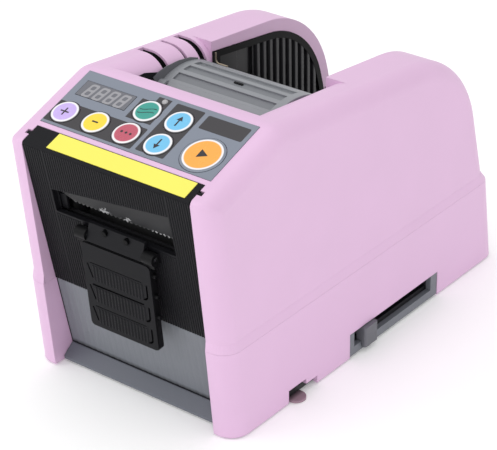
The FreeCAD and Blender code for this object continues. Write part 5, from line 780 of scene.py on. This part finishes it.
# Keypad overlay: printed polyester film stuck into a shallow recess of the slope.
# Gray, with dark printed fields round the keys and one bare dark field at the right.
RIDGE_RUN = 0.0528
SLOPE = math.atan2(RIDGE_HEIGHT - BEND_HEIGHT, RIDGE_RUN)
FILM_TOP = 0.00020
FILM = 0.00004
CUTTER_REACH = 0.0005
OVERLAY_GRAY = (0.206, 0.231, 0.286)
FIELD_DARK = (0.037, 0.034, 0.039)
KEY_RADIUS = 0.00735
KEY_GAP = 0.0003
COLUMNS = [-0.0437, -0.0246, -0.0055, 0.0136]
ROW_LOW = 0.0245
ROW_HIGH = 0.0406
START_SPOT = (0.0380, 0.0272)
START_RADIUS = 0.0110
LIGHT_SPOT = (-0.0015, 0.0492)
LIGHT_RADIUS = 0.0016
# left, right, lower and upper edge of the plain dark fields, and the outline of the stepped one
PLAIN_FIELDS = ((-0.0514, 0.0027, 0.0167, 0.0309), (0.0050, 0.0218, 0.0176, 0.0509),
                (0.0245, 0.0494, 0.0411, 0.0500))
STEPPED_FIELD = ((-0.0135, 0.0336), (0.0016, 0.0336), (0.0016, 0.0512), (-0.0062, 0.0512),
                 (-0.0062, 0.0472), (-0.0135, 0.0472))


def on_slope(x=0.0, up=0.0):
    """Place on the keypad slope: X across, Y up the slope, Z out of it."""
    return Matrix.Translation(BEND) @ Matrix.Rotation(SLOPE, 4, "X") @ Matrix.Translation((x, up, 0.0))


def ring(x, up, radius, steps=48):
    """Outline of a circle."""
    turns = [2 * math.pi * i / steps for i in range(steps)]
    return [(x + radius * math.cos(turn), up + radius * math.sin(turn)) for turn in turns]


def pierced(mesh, cutter):
    """Mesh without what lies inside the cutter."""
    made = bpy.data.objects.new("pierced", mesh)
    tool = bpy.data.objects.new("cutter", cutter)
    for item in (made, tool):
        bpy.context.scene.collection.objects.link(item)
    cut = made.modifiers.new("cut", "BOOLEAN")
    cut.operation = "DIFFERENCE"
    cut.solver = "EXACT"
    cut.object = tool
    view = bpy.context.evaluated_depsgraph_get()
    result = bpy.data.meshes.new_from_object(made.evaluated_get(view))
    for item in (made, tool):
        bpy.data.meshes.remove(item.data)
    return result


overlay_gray = moulded("overlay_gray", OVERLAY_GRAY, 0.34, grain=0.0007, drift=0.02)
field_dark = moulded("field_dark", FIELD_DARK, 0.32, grain=0.0007, drift=0.05)
dress(overlay_gray, "panel_overlay")
dark_fields = [rounded_field(*field) for field in PLAIN_FIELDS] + [STEPPED_FIELD]
hole = KEY_RADIUS + KEY_GAP
holes = [ring(x, ROW_LOW, hole) for x in COLUMNS] + [ring(x, ROW_HIGH, hole) for x in COLUMNS[2:]]
holes.append(ring(*LIGHT_SPOT, LIGHT_RADIUS, 24))
fields = printed("overlay_fields", dark_fields, FILM_TOP, FILM_TOP + FILM, on_slope(), field_dark)
cutter = printed("key_holes", holes, FILM_TOP - CUTTER_REACH, FILM_TOP + CUTTER_REACH, on_slope(),
                 field_dark)
mount("overlay_fields", pierced(fields, cutter), "housing")

# Keys: domed caps with a white rim and a coloured middle, each on a stem over its switch.
# The marks are printed on the caps: plus, minus, arrows, a wave, three dots and a triangle.
KEY_TOP = 0.00080
SKY_BLUE = (0.160, 0.520, 0.800)
# place across and up the slope, radius, colour
KEYS = {
    "key_plus": (COLUMNS[0], ROW_LOW, KEY_RADIUS, (0.570, 0.430, 0.830)),
    "key_minus": (COLUMNS[1], ROW_LOW, KEY_RADIUS, (0.930, 0.680, 0.045)),
    "key_select": (COLUMNS[2], ROW_LOW, KEY_RADIUS, (0.500, 0.085, 0.135)),
    "key_mode": (COLUMNS[2], ROW_HIGH, KEY_RADIUS, (0.032, 0.320, 0.262)),
    "key_up": (COLUMNS[3], ROW_HIGH, KEY_RADIUS, SKY_BLUE),
    "key_down": (COLUMNS[3], ROW_LOW, KEY_RADIUS, SKY_BLUE),
    "key_start": (*START_SPOT, START_RADIUS, (0.930, 0.400, 0.060)),
}
RIM_WHITE = (0.870, 0.860, 0.880)
# width of the white rim and of the skirt, colour of the skirt
SMALL_RIM = (0.0010, 0.0005, FIELD_DARK)
START_RIM = (0.0009, 0.0012, OVERLAY_GRAY)
RIM_BLUR = (-0.0003, 0.0002)
SKIRT_BLUR = (-0.0001, 0.0001)
ARROW = ((-0.00042, -0.0032), (0.00042, -0.0032), (0.00042, 0.0006), (0.0017, 0.0006), (0.0, 0.0034),
         (-0.0017, 0.0006), (-0.00042, 0.0006))
WAVE_HALF = 0.0042
WAVE_STEPS = 14
WAVE_RISE = 0.0012
WAVE_TURN = 420
WAVE_WIDTH = 0.0004


def key_cap(name, colour, middle, radius, rim, skirt, skirt_colour):
    """Glossy cap: coloured middle, white rim and a narrow skirt in the colour round it."""
    made = moulded(name, colour, 0.26, grain=0.0006, drift=0.03, patch=0.004, coat=0.2)
    reach = away(made, middle)
    for edge, blur, beyond in ((radius - skirt - rim, RIM_BLUR, RIM_WHITE),
                               (radius - skirt, SKIRT_BLUR, skirt_colour)):
        turning(made, reach, edge + blur[0], edge + blur[1], beyond)
    return made


def arrow(way):
    """Outline of an arrow up or down the slope."""
    return [(x, way * y) for x, y in ARROW]


def wave(rise):
    """Outline of a bowed stroke across a key."""
    xs = [WAVE_HALF * (2 * i / WAVE_STEPS - 1) for i in range(WAVE_STEPS + 1)]
    return stripe([(x, rise + WAVE_RISE * math.sin(WAVE_TURN * x)) for x in xs], WAVE_WIDTH)


def cross(long, thick):
    """Outline of a plus sign."""
    corner = ((-long, -thick), (-thick, -thick), (-thick, -long))
    return [*corner, *((-x, y) for x, y in corner[::-1]), *((-x, -y) for x, y in corner),
            *((x, -y) for x, y in corner[::-1])]


KEY_MARKS = {
    "key_plus": [cross(0.0025, 0.0004)],
    "key_minus": [stripe([(-0.0018, 0.0), (0.0018, 0.0)], 0.0009)],
    "key_select": [ring(x, 0.0, 0.0007, 20) for x in (-0.0026, 0.0, 0.0026)],
    "key_mode": [wave(0.0011), wave(-0.0013)],
    "key_up": [arrow(1)],
    "key_down": [arrow(-1)],
    "key_start": [[(-0.0021, -0.0027), (0.0030, 0.0), (-0.0021, 0.0027)]],
}
mark_ink = moulded("mark_ink", (0.022, 0.017, 0.022), 0.42, grain=0.0006, drift=0.08)
for name, (x, row, radius, colour) in KEYS.items():
    top = on_slope(x, row) @ Vector((0.0, 0.0, KEY_TOP))
    rim = START_RIM if name == "key_start" else SMALL_RIM
    dress(key_cap(f"cap_{name}", colour, top, radius, *rim), name)
    mark = printed(f"{name}_mark", KEY_MARKS[name], KEY_TOP, KEY_TOP + FILM, on_slope(x, row), mark_ink)
    mount(f"{name}_mark", mark, name)

# Display and status light: a smoked window with four unlit figures, and a clear lens.
# Both are let into the overlay from behind.
DISPLAY = (-0.0475, -0.0170, 0.0368, 0.0468)
WINDOW_TOP = 0.00030
FIGURE_LEAN = 0.16
FIGURE_FIRST = 0.0061
FIGURE_PITCH = 0.0066
FIGURE_DROP = 0.0005
# width, height and stroke of a figure
FIGURE = (0.0037, 0.0078, 0.0013)
smoked = moulded("smoked_window", (0.150, 0.153, 0.176), 0.16, grain=0.0008, drift=0.05)
digit_gray = moulded("digit_gray", (0.315, 0.312, 0.335), 0.30, grain=0.0008, drift=0.05)
lens = moulded("clear_lens", (0.420, 0.410, 0.420), 0.12, grain=0.0004, drift=0.10, patch=0.0015)
dress(smoked, "display_window")
dress(lens, "status_led")


def digit(x, up, wide, tall, width):
    """Figure eight of even strokes, leaning a little: its outline and its two holes."""
    side, rise = wide / 2, tall / 2
    half = width / 2
    fields = [rounded_field(-side - half, side + half, -rise - half, rise + half, width)]
    for low in (-rise, 0.0):
        fields.append(rounded_field(half - side, side - half, low + half, low + rise - half, half))
    return [[(x + px + FIGURE_LEAN * py, up + py) for px, py in field] for field in fields]


left, right, low, high = DISPLAY
digits = []
for number in range(4):
    digits += digit(left + FIGURE_FIRST + number * FIGURE_PITCH, (low + high) / 2 - FIGURE_DROP, *FIGURE)
figures = printed("display_digits", digits, WINDOW_TOP, WINDOW_TOP + FILM, on_slope(), digit_gray)
mount("display_digits", figures, "housing")

# Rail and slide knob at the right of the base: gray mouldings.
# The knob is clipped through the rail's slot and slides along its floor, painted dark as shade in the
# recess.
RAIL_FLOOR = 0.0606
FLOOR_SHADE_REACH = (RAIL_FLOOR + 0.0006, RAIL_FLOOR)
rail_gray = moulded("rail_gray", (0.165, 0.175, 0.200), 0.46, drift=0.06, soft=0.0003)
knob_gray = moulded("knob_gray", (0.125, 0.129, 0.146), 0.44, drift=0.05, soft=0.0003)
# Painted shade: the rail turns nearly black over its floor, in the recess.
turning(rail_gray, along(rail_gray, "X"), *FLOOR_SHADE_REACH, (0.0045, 0.0040, 0.0070))
dress(rail_gray, "slider_rail")
dress(knob_gray, "slide_knob")

# Power inlet and rocker switch: black mouldings snapped into the back.
# The lead itself is unplugged.
inlet_black = moulded("inlet_black", (0.022, 0.022, 0.024), 0.34, drift=0.10)
dress(inlet_black, "power_inlet", "switch_frame", "switch_rocker")

# Feet and housing screws: rubber feet pressed into the tray, plated screws beside them.
# The front pair of feet have tabs that show in the notches of the skirt.
TAB_SHADE_REACH = (0.0645, 0.0605)
foot_rubber = moulded("foot_rubber", (0.340, 0.220, 0.275), 0.45, grain=0.0008, drift=0.12, patch=0.006,
                      soft=0.0003)
# Painted shade: the feet turn dark under the skirt; only the tabs' tips keep their colour.
turning(foot_rubber, away(foot_rubber, MIDDLE, ACROSS), *TAB_SHADE_REACH, (0.020, 0.012, 0.016))
dress(foot_rubber, "suction_feet")
dress(ground_steel, "housing_screws")

# Studio: a pale floor, soft lights and the camera where the photographer stood.
WHITE = (1.0, 1.0, 1.0, 1.0)
FLOOR_HALF = 3.0
FLOOR_GLOW = 0.14
SKY_GLOW = 0.80
# name, place, aim, size and power of each lamp
LAMPS = (
    ("overhead", (-0.2, -0.3, 1.5), (0.0, 0.0, 0.05), 1.4, 5.6),
    ("front_left", (-1.0, -1.2, 0.9), (0.0, 0.0, 0.08), 0.9, 4.2),
    ("front_right", (1.2, -1.3, 0.8), (0.0, -0.05, 0.08), 1.0, 3.4),
)
CAMERA_SPOT = (0.57299, -0.73345, 0.56339)
CAMERA_BACK = Vector((0.54608, -0.68420, 0.48339))
CAMERA_AZIMUTH = math.radians(38.59)
CAMERA_ROLL = math.radians(-0.97)
CAMERA_LENS = 150.3
CAMERA_SENSOR = 36.0
floor_white = moulded("floor_white", (0.950, 0.950, 0.950), 0.85, grain=0.004, relief=0.0, drift=0.005,
                      patch=0.4)
floor_shader = floor_white.node_tree.nodes["Principled BSDF"]
floor_shader.inputs["Emission Color"].default_value = WHITE
floor_shader.inputs["Emission Strength"].default_value = FLOOR_GLOW
floor_mesh = bpy.data.meshes.new("floor")
floor_corners = [(x * FLOOR_HALF, y * FLOOR_HALF, 0) for x, y in ((-1, -1), (1, -1), (1, 1), (-1, 1))]
floor_mesh.from_pydata(floor_corners, [], [(0, 1, 2, 3)])
floor_mesh.materials.append(floor_white)
floor = bpy.data.objects.new("floor", floor_mesh)
bpy.context.scene.collection.objects.link(floor)

world = bpy.data.worlds.new("studio")
bpy.context.scene.world = world
world.use_nodes = True
sky = world.node_tree.nodes["Background"]
sky.inputs["Color"].default_value = WHITE
sky.inputs["Strength"].default_value = SKY_GLOW
bpy.context.scene.view_settings.view_transform = "Standard"


def soft_light(name, spot, target, size, power):
    """Square area light that looks at a target."""
    lamp = bpy.data.lights.new(name, "AREA")
    lamp.size = size
    lamp.energy = power
    made = bpy.data.objects.new(name, lamp)
    bpy.context.scene.collection.objects.link(made)
    made.location = spot
    made.rotation_euler = (Vector(target) - Vector(spot)).to_track_quat("-Z", "Y").to_euler()


for lamp in LAMPS:
    soft_light(*lamp)

level = Vector((math.cos(CAMERA_AZIMUTH), math.sin(CAMERA_AZIMUTH), 0.0))
rise = CAMERA_BACK.cross(level)
right_way = level * math.cos(CAMERA_ROLL) + rise * math.sin(CAMERA_ROLL)
up_way = rise * math.cos(CAMERA_ROLL) - level * math.sin(CAMERA_ROLL)
view_camera = bpy.data.cameras.new("photo_view")
view_camera.sensor_fit = "HORIZONTAL"
view_camera.sensor_width = CAMERA_SENSOR
view_camera.lens = CAMERA_LENS
camera = bpy.data.objects.new("photo_view", view_camera)
bpy.context.scene.collection.objects.link(camera)
camera_turn = Matrix((right_way, up_way, CAMERA_BACK)).transposed().to_4x4()
camera.matrix_world = Matrix.Translation(CAMERA_SPOT) @ camera_turn
bpy.context.scene.camera = camera
